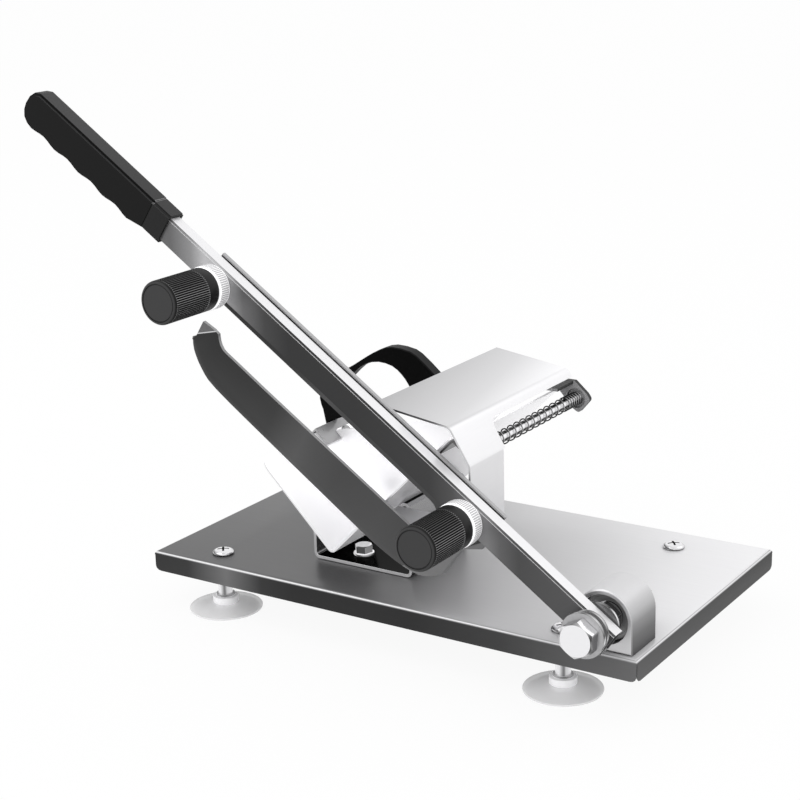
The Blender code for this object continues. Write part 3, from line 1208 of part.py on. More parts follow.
def pusher_plate(parent, finish):
    """V plate that pushes the meat, with a tab bent back along the saddle."""
    out = WALL_HALF + PUSHER_WALL_GAP
    tab_out = SADDLE_OUT + SEAT_GAP
    tab_low = TROUGH_LEFT_WALL - SADDLE_DROP
    top = ARM_BOTTOM_Z - SEAT_GAP
    right_rise = (top - TROUGH_BOTTOM_Z) / DIAGONAL - out
    outline = [(TROUGH_BOTTOM_X, TROUGH_BOTTOM_Z + out / DIAGONAL), trough_point(1, right_rise, out),
               (ARM_LEFT_X, top), (ARM_LEFT_X - PUSHER_DIP_X, top - PUSHER_DIP_Z),
               trough_point(-1, PUSHER_LEFT_RISE, tab_out), trough_point(-1, tab_low - SEAT_GAP, tab_out),
               trough_point(-1, tab_low - SEAT_GAP, out)]
    piece = place("pusher_plate", prism(outline, PUSHER_FRONT_Y, PUSHER_BACK_Y), finish, parent,
                  smooth=CREASE)
    tab_far = tab_out + PUSHER_TAB
    tab = [trough_point(-1, tab_low, tab_out), trough_point(-1, tab_low, tab_far),
           trough_point(-1, PUSHER_LEFT_RISE, tab_far), trough_point(-1, PUSHER_LEFT_RISE, tab_out)]
    combine(piece, prism(tab, PUSHER_FRONT_Y + SEAT_GAP, PUSHER_FRONT_Y + PUSHER_TAB_LENGTH), "UNION")
    x, z = trough_point(-1, screw_rise(), 0)
    combine(piece, disc(SADDLE_SCREW_RADIUS + THREAD_GAP, 0, 2 * tab_out, ROD_SIDES),
            at=(x, SADDLE_SCREW_Y, z), turn=(0, math.radians(45), 0))
    return piece


def screw_rise():
    """How far up the left wall the saddle's screw stands."""
    return (TROUGH_LEFT_WALL - SADDLE_DROP + PUSHER_LEFT_RISE) / 2


def pusher_ring(parent, finish):
    """Moulded D handle behind the plate, its left foot on the saddle, its right leg on the plate's back."""
    outer_shares = ((0.024, 0.213), (0.003, 0.330), (0.030, 0.472), (0.120, 0.605), (0.249, 0.738), (0.341, 0.845),
                    (0.441, 0.947), (0.528, 0.993), (0.652, 0.970), (0.725, 0.892), (0.796, 0.790), (0.893, 0.630),
                    (0.959, 0.430))
    leg_shares = ((0.978, 0.213), (0.742, 0.213))
    inner_shares = ((0.695, 0.430), (0.632, 0.620), (0.587, 0.715), (0.525, 0.790), (0.430, 0.815), (0.340, 0.773),
                    (0.266, 0.680), (0.191, 0.530), (0.153, 0.347), (0.160, 0.160))

    def at(share):
        return (RING_LEFT_X + RING_WIDTH * share[0], RING_BOTTOM_Z + RING_HEIGHT * share[1])

    foot = TROUGH_LEFT_WALL + SLIDING_GAP + SADDLE_SHEET + SEAT_GAP
    outline = [trough_point(-1, foot, -SADDLE_OUT)]
    outline += smooth_line([at(share) for share in outer_shares], 2)
    outline += [at(share) for share in leg_shares]
    outline += smooth_line([at(share) for share in inner_shares], 2)
    outline += [trough_point(-1, foot, SADDLE_OUT + SEAT_GAP)]
    bm = prism(outline, PUSHER_BACK_Y + SEAT_GAP, PUSHER_BACK_Y + SEAT_GAP + RING_DEPTH)
    rims = [e for e in bm.edges if abs(e.verts[0].co.y - e.verts[1].co.y) < MERGE]
    bmesh.ops.bevel(bm, geom=rims, offset=SADDLE_SHEET / 2, segments=1, affect="EDGES", clamp_overlap=True)
    return place("pusher_handle", bm, finish, parent, smooth=CREASE)


def pusher_saddle(parent, finish):
    """Bent clip that rides on the trough's left rim and guides the pusher."""
    mid = SADDLE_OUT - SADDLE_SHEET / 2
    top = TROUGH_LEFT_WALL + SLIDING_GAP + SADDLE_SHEET / 2
    low = TROUGH_LEFT_WALL - SADDLE_DROP
    line = [trough_point(-1, low, -mid), trough_point(-1, top, -mid), trough_point(-1, top, mid),
            trough_point(-1, low, mid)]
    bm = prism(sheet_strip(line, SADDLE_SHEET), SADDLE_FRONT_Y, SADDLE_FRONT_Y + SADDLE_LENGTH)
    piece = place("pusher_saddle", bm, finish, parent, smooth=CREASE)
    x, z = trough_point(-1, screw_rise(), 0)
    combine(piece, disc(SADDLE_SCREW_RADIUS + THREAD_GAP, 0, 2 * SADDLE_OUT, ROD_SIDES),
            at=(x, SADDLE_SCREW_Y, z), turn=(0, math.radians(45), 0))
    return piece


def saddle_screw(parent, finish):
    """Pan screw that holds the plate's tab to the saddle."""
    under = SADDLE_OUT + SEAT_GAP + PUSHER_TAB + SEAT_GAP
    tip = WALL_HALF + SLIDING_GAP
    head = SADDLE_SCREW_HEAD
    tall = SADDLE_SCREW_HEIGHT
    profile = [(0, tip), (SADDLE_SCREW_RADIUS, tip), (SADDLE_SCREW_RADIUS, under), (head, under),
               (head, under + tall / 3), (head * 0.75, under + tall * 0.85), (0, under + tall)]
    x, z = trough_point(-1, screw_rise(), 0)
    return place("saddle_screw", turned(profile, ROD_SIDES), finish, parent,
                 at=(x, SADDLE_SCREW_Y, z), turn=(0, math.radians(45), 0), smooth=CREASE)


# Assembly

def finishes():
    """The slicer's finishes, by name."""
    return {
        "brushed": finish_material("brushed_steel", (0.42, 0.42, 0.43), 0.34, 1.0),
        "satin": finish_material("satin_steel", (0.80, 0.80, 0.81), 0.40, 0.9),
        "mirror": finish_material("polished_steel", (0.36, 0.36, 0.38), 0.14, 1.0),
        "blade": finish_material("blade_steel", (0.16, 0.16, 0.17), 0.38, 0.9),
        "aluminium": finish_material("satin_aluminium", (0.62, 0.63, 0.65), 0.42, 0.9),
        "chrome": finish_material("chrome", (0.82, 0.82, 0.83), 0.12, 1.0),
        "slide": finish_material("dark_cast", (0.16, 0.16, 0.17), 0.5, 0.6),
        "black": finish_material("black_plastic", (0.025, 0.025, 0.028), 0.45, 0.0),
        "cup": finish_material("clear_cup", (0.86, 0.87, 0.87), 0.35, 0.0),
    }


def build():
    """Model every piece, body by body, and stand the slicer on its cups at the frame's origin."""
    clear_scene()
    look = finishes()
    root = empty_at("slicer", (0, 0, 0))
    tray(root, look["brushed"])
    for corner in FOOT_PLACES:
        foot_screw(corner, root, look["chrome"])
        foot_post(corner, root, look["chrome"])
        suction_cup(corner, root, look["cup"])
    bearing_block(root, look["aluminium"])
    for place_name in BLOCK_SCREW_YS:
        block_screw(place_name, root, look["chrome"])
    bearing("pivot_bearing_front", BLOCK_FRONT_Y + COUNTERBORE_FRONT_DEPTH + SEAT_GAP, root, look["chrome"])
    bearing("pivot_bearing_rear", BLOCK_BACK_Y - BEARING_WIDTH - SEAT_GAP, root, look["chrome"])
    trough(root, look["satin"])
    hood(root, look["satin"])
    trough_bracket(root, look["mirror"])
    for place_name in BRACKET_BOLTS:
        bracket_bolt(place_name, root, look)
    wall_screw("left", -1, root, look["chrome"])
    wall_screw("right", 1, root, look["chrome"])
    rod_holder(root, look["satin"])
    guide_rod(root, look["chrome"])
    rod_nut(root, look["chrome"])
    return_spring(root, look["chrome"])

    pusher = empty_at("feed_axis", (0, 0, 0), root)
    slide(pusher, look["slide"])
    pusher_arm(pusher, look["satin"])
    pusher_plate(pusher, look["satin"])
    pusher_ring(pusher, look["black"])
    pusher_saddle(pusher, look["satin"])
    saddle_screw(pusher, look["chrome"])

    lever = empty_at("lever_axis", (PIVOT_X, 0, PIVOT_Z), root, (0, -LEVER_ANGLE, math.pi))
    depth = pivot_stack()
    lever_tube(lever, look["brushed"])
    handle_collar(lever, look["black"])
    handle_grip(lever, look["black"])
    blade(lever, look["blade"])
    pivot_bolt(lever, look["chrome"], depth)
    washer("pivot_washer_front", FRONT_WASHER_RADIUS, PIVOT_BOLT_RADIUS, depth["front_washer"],
           FRONT_WASHER_THICKNESS, lever, look["chrome"])
    spring_washer(lever, look["chrome"], depth["spring_washer"])
    washer("pivot_washer_head", HEAD_WASHER_RADIUS, PIVOT_BOLT_RADIUS, depth["head_washer"],
           HEAD_WASHER_THICKNESS, lever, look["chrome"])
    washer("pivot_washer_back", BACK_WASHER_RADIUS, PIVOT_BOLT_RADIUS, depth["back_washer"],
           BACK_WASHER_THICKNESS, lever, look["chrome"])
    washer("pivot_washer_rear", REAR_WASHER_RADIUS, PIVOT_BOLT_RADIUS, depth["rear_washer"],
           REAR_WASHER_THICKNESS, lever, look["chrome"])
    bore = PIVOT_BOLT_RADIUS + THREAD_GAP
    jam = hex_nut(HEX_FLATS, depth["jam_nut"], depth["jam_nut"] + JAM_NUT_HEIGHT, bore, BOLT_SIDES)
    place("pivot_jam_nut", jam, look["chrome"], lever, turn=LEVER_FRONT, smooth=CREASE)
    nut = hex_nut(HEX_FLATS, depth["rear_nut"], depth["rear_nut"] + REAR_NUT_HEIGHT, bore, BOLT_SIDES)
    place("pivot_rear_nut", nut, look["chrome"], lever, turn=LEVER_FRONT, smooth=CREASE)
    for level, reach in (("lower", KNOB_LOWER_REACH), ("upper", KNOB_UPPER_REACH)):
        axis = empty_at(level + "_knob_axis", (reach, 0, -KNOB_DROP), lever)
        stud("stud_" + level, axis, look["chrome"])
        lock_ring("lock_ring_" + level, axis, look["chrome"])
        knob("knob_" + level, axis, look["black"])
    stand_at_origin(root)


def stand_at_origin(root):
    """Move the whole slicer so that the middle of its box's underside is the frame's origin."""
    bpy.context.view_layer.update()
    graph = bpy.context.evaluated_depsgraph_get()
    corners = []
    for item in bpy.data.objects:
        if item.type in ("MESH", "CURVE") and not item.hide_render:
            shape = item.evaluated_get(graph)
            mesh = shape.to_mesh()
            corners += [shape.matrix_world @ v.co for v in mesh.vertices]
            shape.to_mesh_clear()
    low = [min(c[i] for c in corners) for i in range(3)]
    high = [max(c[i] for c in corners) for i in range(3)]
    root.location = (-(low[0] + high[0]) / 2, -(low[1] + high[1]) / 2, -low[2])


build()
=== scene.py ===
"""Looks of a hand lever slicer for frozen meat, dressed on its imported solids.

Each sub-assembly of the slicer is a class that knows its own sizes, builds the
pieces that need finer shapes than the solids have, and gives every surface its
finish.  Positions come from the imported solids; the row frame is in metres, with
X along the tray, -Y towards the operator and Z up.
"""

import logging
import math
from dataclasses import dataclass, field
from enum import Enum
from typing import Any, Callable, Mapping, Optional, Sequence, Union

import bmesh
import bpy
from mathutils import Matrix, Vector


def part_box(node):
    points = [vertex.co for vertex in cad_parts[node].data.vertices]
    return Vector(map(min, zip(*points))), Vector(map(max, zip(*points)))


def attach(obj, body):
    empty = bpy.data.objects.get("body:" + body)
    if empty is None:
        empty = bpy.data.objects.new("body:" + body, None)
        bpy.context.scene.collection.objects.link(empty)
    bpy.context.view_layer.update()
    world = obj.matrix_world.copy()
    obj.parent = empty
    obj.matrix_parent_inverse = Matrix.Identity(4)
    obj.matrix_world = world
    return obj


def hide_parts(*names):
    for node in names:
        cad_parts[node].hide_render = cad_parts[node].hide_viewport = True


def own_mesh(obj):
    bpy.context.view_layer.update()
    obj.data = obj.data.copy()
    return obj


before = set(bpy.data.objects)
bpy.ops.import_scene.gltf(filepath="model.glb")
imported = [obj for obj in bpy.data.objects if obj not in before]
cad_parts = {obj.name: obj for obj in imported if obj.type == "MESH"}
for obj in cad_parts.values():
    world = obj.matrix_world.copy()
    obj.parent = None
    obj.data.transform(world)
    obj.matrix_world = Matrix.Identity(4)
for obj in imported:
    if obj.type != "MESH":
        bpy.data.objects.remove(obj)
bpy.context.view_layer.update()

log = logging.getLogger("slicer")

Point = tuple[float, float]
Triple = tuple[float, float, float]
Stops = tuple[Point, ...]
Mesh = bmesh.types.BMesh
Material = bpy.types.Material
Piece = bpy.types.Object

LEVER_ANGLE = math.radians(34.7)
RIGHT = (1.0, 0.0, 0.0)
BACK = (0.0, 1.0, 0.0)
UP = (0.0, 0.0, 1.0)
DOWN = (0.0, 0.0, -1.0)
OPERATOR = (0.0, -1.0, 0.0)
ALONG_LEVER = (-math.cos(LEVER_ANGLE), 0.0, math.sin(LEVER_ANGLE))
ABOVE_LEVER = (math.sin(LEVER_ANGLE), 0.0, math.cos(LEVER_ANGLE))
# How far the lever's painted reflections slant across its tube.
TONE_SLANT = 0.7
LEVER_SLANT = tuple(along - TONE_SLANT * above for along, above in zip(ALONG_LEVER, ABOVE_LEVER))
INTO_HOOD = (-0.9, 0.0, -0.44)
PLASTIC_LEANS = (0.55, 0.95)
MIX_INPUTS = (0, 6, 7)
MIX_RESULT = 2
BORE_GAP = 0.0003
SEAT_GAP = 0.0003
SOFT_EDGE = 0.00022
FINE_RELIEF = 0.00001


class Body(Enum):
    """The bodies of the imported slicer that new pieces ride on."""

    BASE = "base"
    LEVER = "lever"
    LOWER_KNOB = "lower_knob"
    UPPER_KNOB = "upper_knob"
    LOWER_LOCK_RING = "lower_lock_ring"
    UPPER_LOCK_RING = "upper_lock_ring"


class Slot(Enum):
    """Material slot names; no piece in this script takes its finish from them."""

    BRIGHT = "chrome"
    PLASTIC = "black_plastic"
    CUP = "clear_cup"


def light(tone: float) -> float:
    """The linear value of a tone given from 0 to 255 as a screen shows it."""
    share = tone / 255
    return share / 12.92 if share <= 0.04045 else ((share + 0.055) / 1.055) ** 2.4


def grey(tone: float, cool: float = 0.012) -> Triple:
    """A slightly cool grey of a screen tone, as a linear colour."""
    value = light(tone)
    return (value, value * (1 - cool / 3), value * (1 + cool))


# Shader maths

class Signal:
    """A socket that varies over a surface, with arithmetic that adds the nodes it needs."""

    def __init__(self, graph: "Graph", socket: Optional[bpy.types.NodeSocket]) -> None:
        """Wrap a socket of a graph."""
        self.graph = graph
        self.socket = socket

    def _maths(self, operation: str, *values: Any, clamp: bool = False) -> "Signal":
        """Add one Math node.

        Args:
            operation: the Math node's operation.
            values: its inputs, signals or numbers.
            clamp: whether the result is kept from 0 to 1.

        Returns:
            The node's result.
        """
        settings = {"operation": operation, "use_clamp": clamp}
        return self.graph.node("ShaderNodeMath", settings, dict(enumerate(values)))

    def __add__(self, other: Any) -> "Signal":
        """Sum."""
        return self._maths("ADD", self, other)

    __radd__ = __add__

    def __sub__(self, other: Any) -> "Signal":
        """Difference."""
        return self._maths("SUBTRACT", self, other)

    def __rsub__(self, other: Any) -> "Signal":
        """Difference, from the other side."""
        return self._maths("SUBTRACT", other, self)

    def __mul__(self, other: Any) -> "Signal":
        """Product."""
        return self._maths("MULTIPLY", self, other)

    __rmul__ = __mul__

    def __truediv__(self, other: Any) -> "Signal":
        """Quotient."""
        return self._maths("DIVIDE", self, other)

    def __abs__(self) -> "Signal":
        """Size without sign."""
        return self._maths("ABSOLUTE", self)

    def clamped(self) -> "Signal":
        """The same, kept from 0 to 1."""
        return self._maths("ADD", self, 0.0, clamp=True)

    def larger(self, other: Any) -> "Signal":
        """The larger of two."""
        return self._maths("MAXIMUM", self, other)

    def step(self, low: float, high: float) -> "Signal":
        """A soft step, 0 below low and 1 above high."""
        settings = {"interpolation_type": "SMOOTHSTEP"}
        values = {"Value": self, "From Min": low, "From Max": high, "To Min": 0.0, "To Max": 1.0}
        return self.graph.node("ShaderNodeMapRange", settings, values)

    def near(self, centre: float, reach: float) -> "Signal":
        """A soft bump: 1 at a value, 0 from reach away."""
        return 1 - (abs(self - centre) / reach).step(0.0, 1.0)

    def ramp(self, low: float, high: float, stops: Stops) -> "Signal":
        """A grey that follows a value.

        Args:
            low: the value at the ramp's start.
            high: the value at the ramp's end.
            stops: pairs of a share of that span and a screen tone.

        Returns:
            The colour.
        """
        share = ((self - low) / (high - low)).clamped()
        return self.graph.node("ShaderNodeValToRGB", {"stops": stops}, {"Fac": share})


class Graph:
    """A node tree, with one method that adds its nodes."""

    def __init__(self, tree: bpy.types.NodeTree, origin: Sequence[float] = (0, 0, 0)) -> None:
        """Wrap a tree, with the point that its surface is measured from."""
        self.tree = tree
        self.origin = Vector(origin)

    def node(self, kind: str, settings: Mapping[str, Any] = {}, values: Mapping[Any, Any] = {},
             output: Union[int, str] = 0) -> Signal:
        """Add one node.

        Args:
            kind: the node's type.
            settings: its properties, or a ramp's stops.
            values: numbers, colours or signals for its sockets, by name or place.
            output: which of its outputs to return.

        Returns:
            That output, or an empty signal for a node without outputs.
        """
        made = self.tree.nodes.new(kind)
        for key, value in settings.items():
            if key == "stops":
                self._fill_ramp(made.color_ramp, value)
            else:
                setattr(made, key, value)
        self.feed(made, values)
        return Signal(self, made.outputs[output] if made.outputs else None)

    @staticmethod
    def _fill_ramp(ramp: bpy.types.ColorRamp, stops: Stops) -> None:
        """Write a ramp's stops, given as shares and screen tones."""
        while len(ramp.elements) < len(stops):
            ramp.elements.new(1.0)
        for element, (share, tone) in zip(ramp.elements, stops):
            element.position = share
            element.color = (*grey(tone), 1.0)

    def feed(self, node: bpy.types.Node, values: Mapping[Any, Any]) -> None:
        """Link a node's inputs to signals, or set them to constants."""
        for key, value in values.items():
            socket = node.inputs[key]
            if isinstance(value, Signal):
                self.tree.links.new(value.socket, socket)
            elif socket.type == "RGBA" and len(value) == 3:
                socket.default_value = (*value, 1.0)
            else:
                socket.default_value = value

    def reach(self, direction: Sequence[float]) -> Signal:
        """How far the surface lies from the origin in a direction, in object coordinates."""
        return self._along("Object", direction) - self.origin.dot(Vector(direction))

    def faces(self, direction: Sequence[float]) -> Signal:
        """How far the surface faces a direction, from -1 to 1 in the piece's own frame."""
        return self._along("Normal", direction)

    def _along(self, vector: str, direction: Sequence[float]) -> Signal:
        """The length of a texture vector in a direction."""
        values = {0: self.node("ShaderNodeTexCoord", output=vector), 1: tuple(direction)}
        return self.node("ShaderNodeVectorMath", {"operation": "DOT_PRODUCT"}, values, "Value")

    def ray(self, kind: str) -> Signal:
        """1 for rays of a kind, such as Camera or Glossy."""
        return self.node("ShaderNodeLightPath", output="Is %s Ray" % kind)

    def noise(self, scale: Triple, turn: float = 0.0) -> Signal:
        """Noise, finer along each axis by its scale, on axes turned about Y."""
        place = self.node("ShaderNodeTexCoord", output="Object")
        turned = self.node("ShaderNodeVectorRotate", {"rotation_type": "Y_AXIS"},
                           {"Vector": place, "Angle": turn})
        stretched = self.node("ShaderNodeVectorMath", {"operation": "MULTIPLY"}, {0: turned, 1: scale})
        return self.node("ShaderNodeTexNoise", {}, {"Vector": stretched, "Scale": 1.0, "Detail": 2.0})

    def blend(self, share: Any, first: Any, second: Any, mode: str = "MIX") -> Signal:
        """Mix two colours, signals or screen tones by a share."""
        colours = [grey(value) if isinstance(value, (int, float)) else value for value in (first, second)]
        settings = {"data_type": "RGBA", "blend_type": mode}
        return self.node("ShaderNodeMix", settings, dict(zip(MIX_INPUTS, (share, *colours))), MIX_RESULT)

    def speckle(self, colour: Any, noise: Signal, strength: float) -> Signal:
        """Vary a colour's lightness with noise, by a share of itself."""
        level = (noise - 0.5) * strength + 1
        shade = self.node("ShaderNodeCombineColor", {}, {0: level, 1: level, 2: level})
        return self.blend(1.0, colour, shade, "MULTIPLY")


class MaterialGraph(Graph):
    """A new material's nodes round its Principled shader."""

    def __init__(self, name: str, origin: Sequence[float] = (0, 0, 0)) -> None:
        """Make the material."""
        self.material = bpy.data.materials.new(name)
        self.material.use_nodes = True
        super().__init__(self.material.node_tree, origin)
        self.shader = self.tree.nodes["Principled BSDF"]


# Finishes

@dataclass(frozen=True)
class Sweep:
    """Tones that change with place along a direction.

    The stops run from low to high, measured from the finish's origin.  Waves
    above zero, so many to the metre, bend them softly.
    """

    direction: Triple
    low: float
    high: float
    stops: Stops
    waves: float = 0.0
    wave_depth: float = 0.02

    def tones(self, graph: Graph) -> Signal:
        """The tones over the surface."""
        place = graph.reach(self.direction)
        if self.waves:
            place = place + graph.noise((self.waves,) * 3) * self.wave_depth
        return place.ramp(self.low, self.high, self.stops)


@dataclass(frozen=True)
class Patch:
    """A tone on the faces that look in a direction, which paints the light and shade that fall on them.

    It grows to its full share between two leans, where 1 faces the direction
    and -1 faces away.  A ridge lies round the first lean, as far as the second says.
    """

    direction: Triple
    leans: Point
    tone: float
    share: float = 1.0
    ridge: bool = False
    both_ways: bool = False

    def mask(self, graph: Graph) -> Signal:
        """How much of the patch shows, from 0 to 1."""
        facing = graph.faces(self.direction)
        if self.both_ways:
            facing = abs(facing)
        shown = facing.near(*self.leans) if self.ridge else facing.step(*self.leans)
        return shown * self.share


@dataclass(frozen=True)
class Finish:
    """What all finishes share: their constants, and hooks for their colour and for a weak glow, which is
    painted light.
    """

    name: str
    tone: float = 128.0
    roughness: float = 0.4
    metallic: float = 0.0
    specular: float = 0.5
    tint: float = 1.0
    alpha: float = 1.0
    relief: float = 0.0
    grain: Triple = (900, 900, 900)
    turn: float = 0.0
    speckle: float = 0.06
    gloss_speckle: float = 0.12
    # A weak glow: painted light that lifts faces lying in shade; no part of the slicer gives light.
    glow: float = 0.0
    origin: Sequence[float] = (0, 0, 0)
    sweep: Optional[Sweep] = None
    patches: tuple[Patch, ...] = ()
    # Where the painted glow takes the base colour; elsewhere it takes the patch's tone.
    lit: Optional[Patch] = None

    def ground(self, graph: Graph) -> Any:
        """The colour below the patches."""
        return self.sweep.tones(graph) if self.sweep else grey(self.tone)

    def colour(self, graph: Graph) -> Any:
        """The base colour before its grain."""
        tones = self.ground(graph)
        for patch in self.patches:
            tones = graph.blend(patch.mask(graph), tones, patch.tone)
        return tones

    def shine(self, graph: Graph, base: Signal) -> Signal:
        """The colour of the painted glow: its base, or that in the lit patch only."""
        return graph.blend(self.lit.mask(graph), self.lit.tone, base) if self.lit else base

    def material(self) -> Material:
        """Make the material.

        Returns:
            A Principled material with this finish's grain in its colour, gloss and relief.
        """
        graph = MaterialGraph(self.name, self.origin)
        noise = graph.noise(self.grain, self.turn)
        base = graph.speckle(self.colour(graph), noise, self.speckle)
        gloss = noise * self.gloss_speckle + (self.roughness - self.gloss_speckle / 2)
        values = {"Base Color": base, "Roughness": gloss, "Metallic": self.metallic,
                  "Specular IOR Level": self.specular, "Specular Tint": (self.tint,) * 3,
                  "Alpha": self.alpha, "Emission Strength": self.glow}
        # Painted light: the glow lightens faces that lie in shade.
        if self.glow:
            values["Emission Color"] = self.shine(graph, base)
        if self.relief:
            bump = {"Strength": 0.5, "Distance": self.relief, "Height": noise}
            values["Normal"] = graph.node("ShaderNodeBump", {}, bump)
        graph.feed(graph.shader, values)
        return graph.material


@dataclass(frozen=True)
class BrushedTray(Finish):
    """Brushed sheet of the tray: painted reflections, dark at the front left and pale at the rear right, and a
    painted highlight on the bent edge.
    """

    # Painted reflections over the top, dark at the front left and pale at the rear right.
    top: Sweep = Sweep((1, 0.42, 0), 0.01, 0.41, (
        (0.0, 84), (0.28, 94), (0.40, 106), (0.47, 138), (0.53, 178), (0.62, 196), (0.74, 212),
        (0.88, 230), (1.0, 236)), waves=9)
    # Painted reflections along the front flange, with a painted bright patch near its left end.
    front: Sweep = Sweep(RIGHT, 0.0, 0.335, (
        (0.0, 42), (0.08, 48), (0.17, 108), (0.25, 46), (0.32, 34), (0.58, 36), (0.75, 58), (0.9, 90),
        (1.0, 102)))
    # Painted shade on the end flanges, darker towards the rear.
    side: Sweep = Sweep(BACK, 0.0, 0.190, ((0.0, 68), (0.4, 48), (1.0, 20)))
    side_leans: Point = (0.5, 0.8)
    top_leans: Point = (0.8, 0.97)
    # A painted highlight along the rounded bends of the tray's edges.
    patches: tuple[Patch, ...] = (Patch(UP, (0.62, 0.36), 238, 0.95, ridge=True),)

    def ground(self, graph: Graph) -> Signal:
        """Painted reflection tones of the top and the flanges."""
        aside = abs(graph.faces(RIGHT)).step(*self.side_leans)
        walls = graph.blend(aside, self.front.tones(graph), self.side.tones(graph))
        return graph.blend(graph.faces(UP).step(*self.top_leans), walls, self.top.tones(graph))


@dataclass(frozen=True)
class BrushedLever(Finish):
    """Brushed tube of the lever in painted reflections: dark front with pale stretches by the knobs, and a
    painted highlight on the top.
    """

    # Painted reflections along the tube, pale by the knobs.
    sweep: Sweep = Sweep(LEVER_SLANT, 0.0, 0.400, (
        (0.0, 90), (0.13, 78), (0.165, 100), (0.19, 128), (0.215, 124), (0.255, 84), (0.30, 66),
        (0.45, 58), (0.58, 58), (0.63, 74), (0.675, 112), (0.72, 176), (0.755, 192), (0.785, 146),
        (0.83, 108), (1.0, 106)))
    # A painted highlight on the faces that look up.
    patches: tuple[Patch, ...] = (Patch(ABOVE_LEVER, (0.93, 0.99), 238),)


@dataclass(frozen=True)
class BladeSteel(Finish):
    """Ground steel of the blade, dark in painted reflections, paler with painted highlights at its spine, its
    tip and its thin edges.
    """

    # Painted reflections along the blade.
    sweep: Sweep = Sweep(ALONG_LEVER, 0.095, 0.302, (
        (0.0, 46), (0.12, 60), (0.24, 64), (0.40, 58), (0.50, 66), (0.55, 74), (0.61, 64), (0.68, 42),
        (0.80, 34), (0.94, 26), (1.0, 26)), waves=14)
    # A painted highlight on the tip's ground facet, with a bright painted line along its ridge.
    facet: Point = (0.2486, 0.2489)
    facet_slope: float = 0.954
    facet_drops: Point = (-0.031, -0.029)
    facet_highlight_tone: float = 100
    ridge: float = 0.0007
    ridge_highlight_tone: float = 226
    # A painted highlight on the heel.
    heel: Point = (0.0690, 0.0694)
    heel_slope: float = 0.6
    heel_highlight_tone: float = 112
    # A painted highlight along the spine.
    spine: Point = (0.0079, 0.0081)
    spine_highlight_tone: float = 190
    # Painted highlights on the thin edges that look up.
    patches: tuple[Patch, ...] = (Patch(ABOVE_LEVER, (0.4, 0.8), 170, 0.75),)

    def ground(self, graph: Graph) -> Signal:
        """Painted reflections along the blade, with painted highlights on the tip's facet, the heel and the
        spine.
        """
        along = graph.reach(ALONG_LEVER)
        height = graph.reach(ABOVE_LEVER)
        outer = 1 - height.step(*self.facet_drops)
        point = along + height * self.facet_slope
        heel = along + height * self.heel_slope
        tones = graph.blend(point.step(*self.facet) * outer, self.sweep.tones(graph), self.facet_highlight_tone)
        tones = graph.blend(point.near(self.facet[0], self.ridge) * outer, tones, self.ridge_highlight_tone)
        tones = graph.blend(heel.step(*self.heel), self.heel_highlight_tone, tones)
        return graph.blend(height.step(*self.spine), tones, self.spine_highlight_tone)


@dataclass(frozen=True)
class HoodSheet(Finish):
    """Satin sheet of the hood in painted light and shade: a top that pales to the rear right, a white slope
    and a grey skirt.
    """

    # Painted light over the top, paler to the rear right.
    sweep: Sweep = Sweep((1, 0.22, 0), 0.170, 0.250, (
        (0.0, 180), (0.3, 198), (0.6, 216), (0.85, 242), (1.0, 252)))
    # Painted light on the slope and the inside, painted shade on the bend and the skirt.
    patches: tuple[Patch, ...] = (Patch(RIGHT, (0.45, 0.7), 244), Patch(RIGHT, (0.42, 0.22), 178, 0.16, True),
                                  Patch(RIGHT, (0.93, 0.995), 226), Patch(INTO_HOOD, (0.2, 0.5), 255))
    # Only the inside faces take the painted glow.
    lit: Patch = Patch(INTO_HOOD, (0.2, 0.5), 0)
    # Painted shade on the front edge, dark at its top and paler downwards.
    edge_leans: Point = (0.5, 0.9)
    edge_drops: Point = (-0.0078, -0.0060)
    edge_shade_tones: Point = (206, 78)

    def colour(self, graph: Graph) -> Signal:
        """The painted slope, bend, skirt and inside, and a front edge in painted shade that pales downwards.
        """
        edge = graph.blend(graph.reach(UP).step(*self.edge_drops), *self.edge_shade_tones)
        return graph.blend(graph.faces(OPERATOR).step(*self.edge_leans), super().colour(graph), edge)


@dataclass(frozen=True)
class TroughSheet(Finish):
    """Satin sheet of the trough, white with painted shade a little grey low on its walls; its inside gets more
    of the painted glow.
    """

    # Painted shade: a little grey low on the walls.
    sweep: Sweep = Sweep((0, 0.15, 1), 0.0, 0.05, ((0.0, 226), (0.35, 244), (0.7, 253), (1.0, 255)))
    # Painted shade on the underside and on the edges towards the operator.
    patches: tuple[Patch, ...] = (Patch(DOWN, (0.2, 0.6), 246), Patch(OPERATOR, (0.5, 0.9), 208))
    # The painted glow is greyer on faces that look down.
    lit: Patch = Patch(UP, (-0.2, 0.2), 172)


@dataclass(frozen=True)
class BlockAluminium(Finish):
    """Satin aluminium of the bearing block in painted light and shade: pale arch and front, sides that darken
    downwards.
    """

    # Painted shade that darkens the sides downwards.
    sweep: Sweep = Sweep(UP, 0.0, 0.036, (
        (0.0, 70), (0.28, 104), (0.5, 142), (0.66, 188), (0.85, 214), (1.0, 216)))
    # Painted light on the front and rear faces.
    patches: tuple[Patch, ...] = (Patch(BACK, (0.6, 0.9), 206, both_ways=True),)


@dataclass(frozen=True)
class MirrorBracket(Finish):
    """Polished bracket in painted reflections: nearly black foot, grey legs and thin painted highlights on its
    edges, with painted glow towards the operator.
    """

    # Painted reflections on the legs and painted highlights on the faces towards the operator.
    patches: tuple[Patch, ...] = (Patch(RIGHT, (0.3, 0.65), 150, both_ways=True),
                                  Patch(OPERATOR, (0.4, 0.8), 206))
    # Only faces towards the operator take the painted glow.
    lit: Patch = Patch(OPERATOR, (0.4, 0.8), 0)


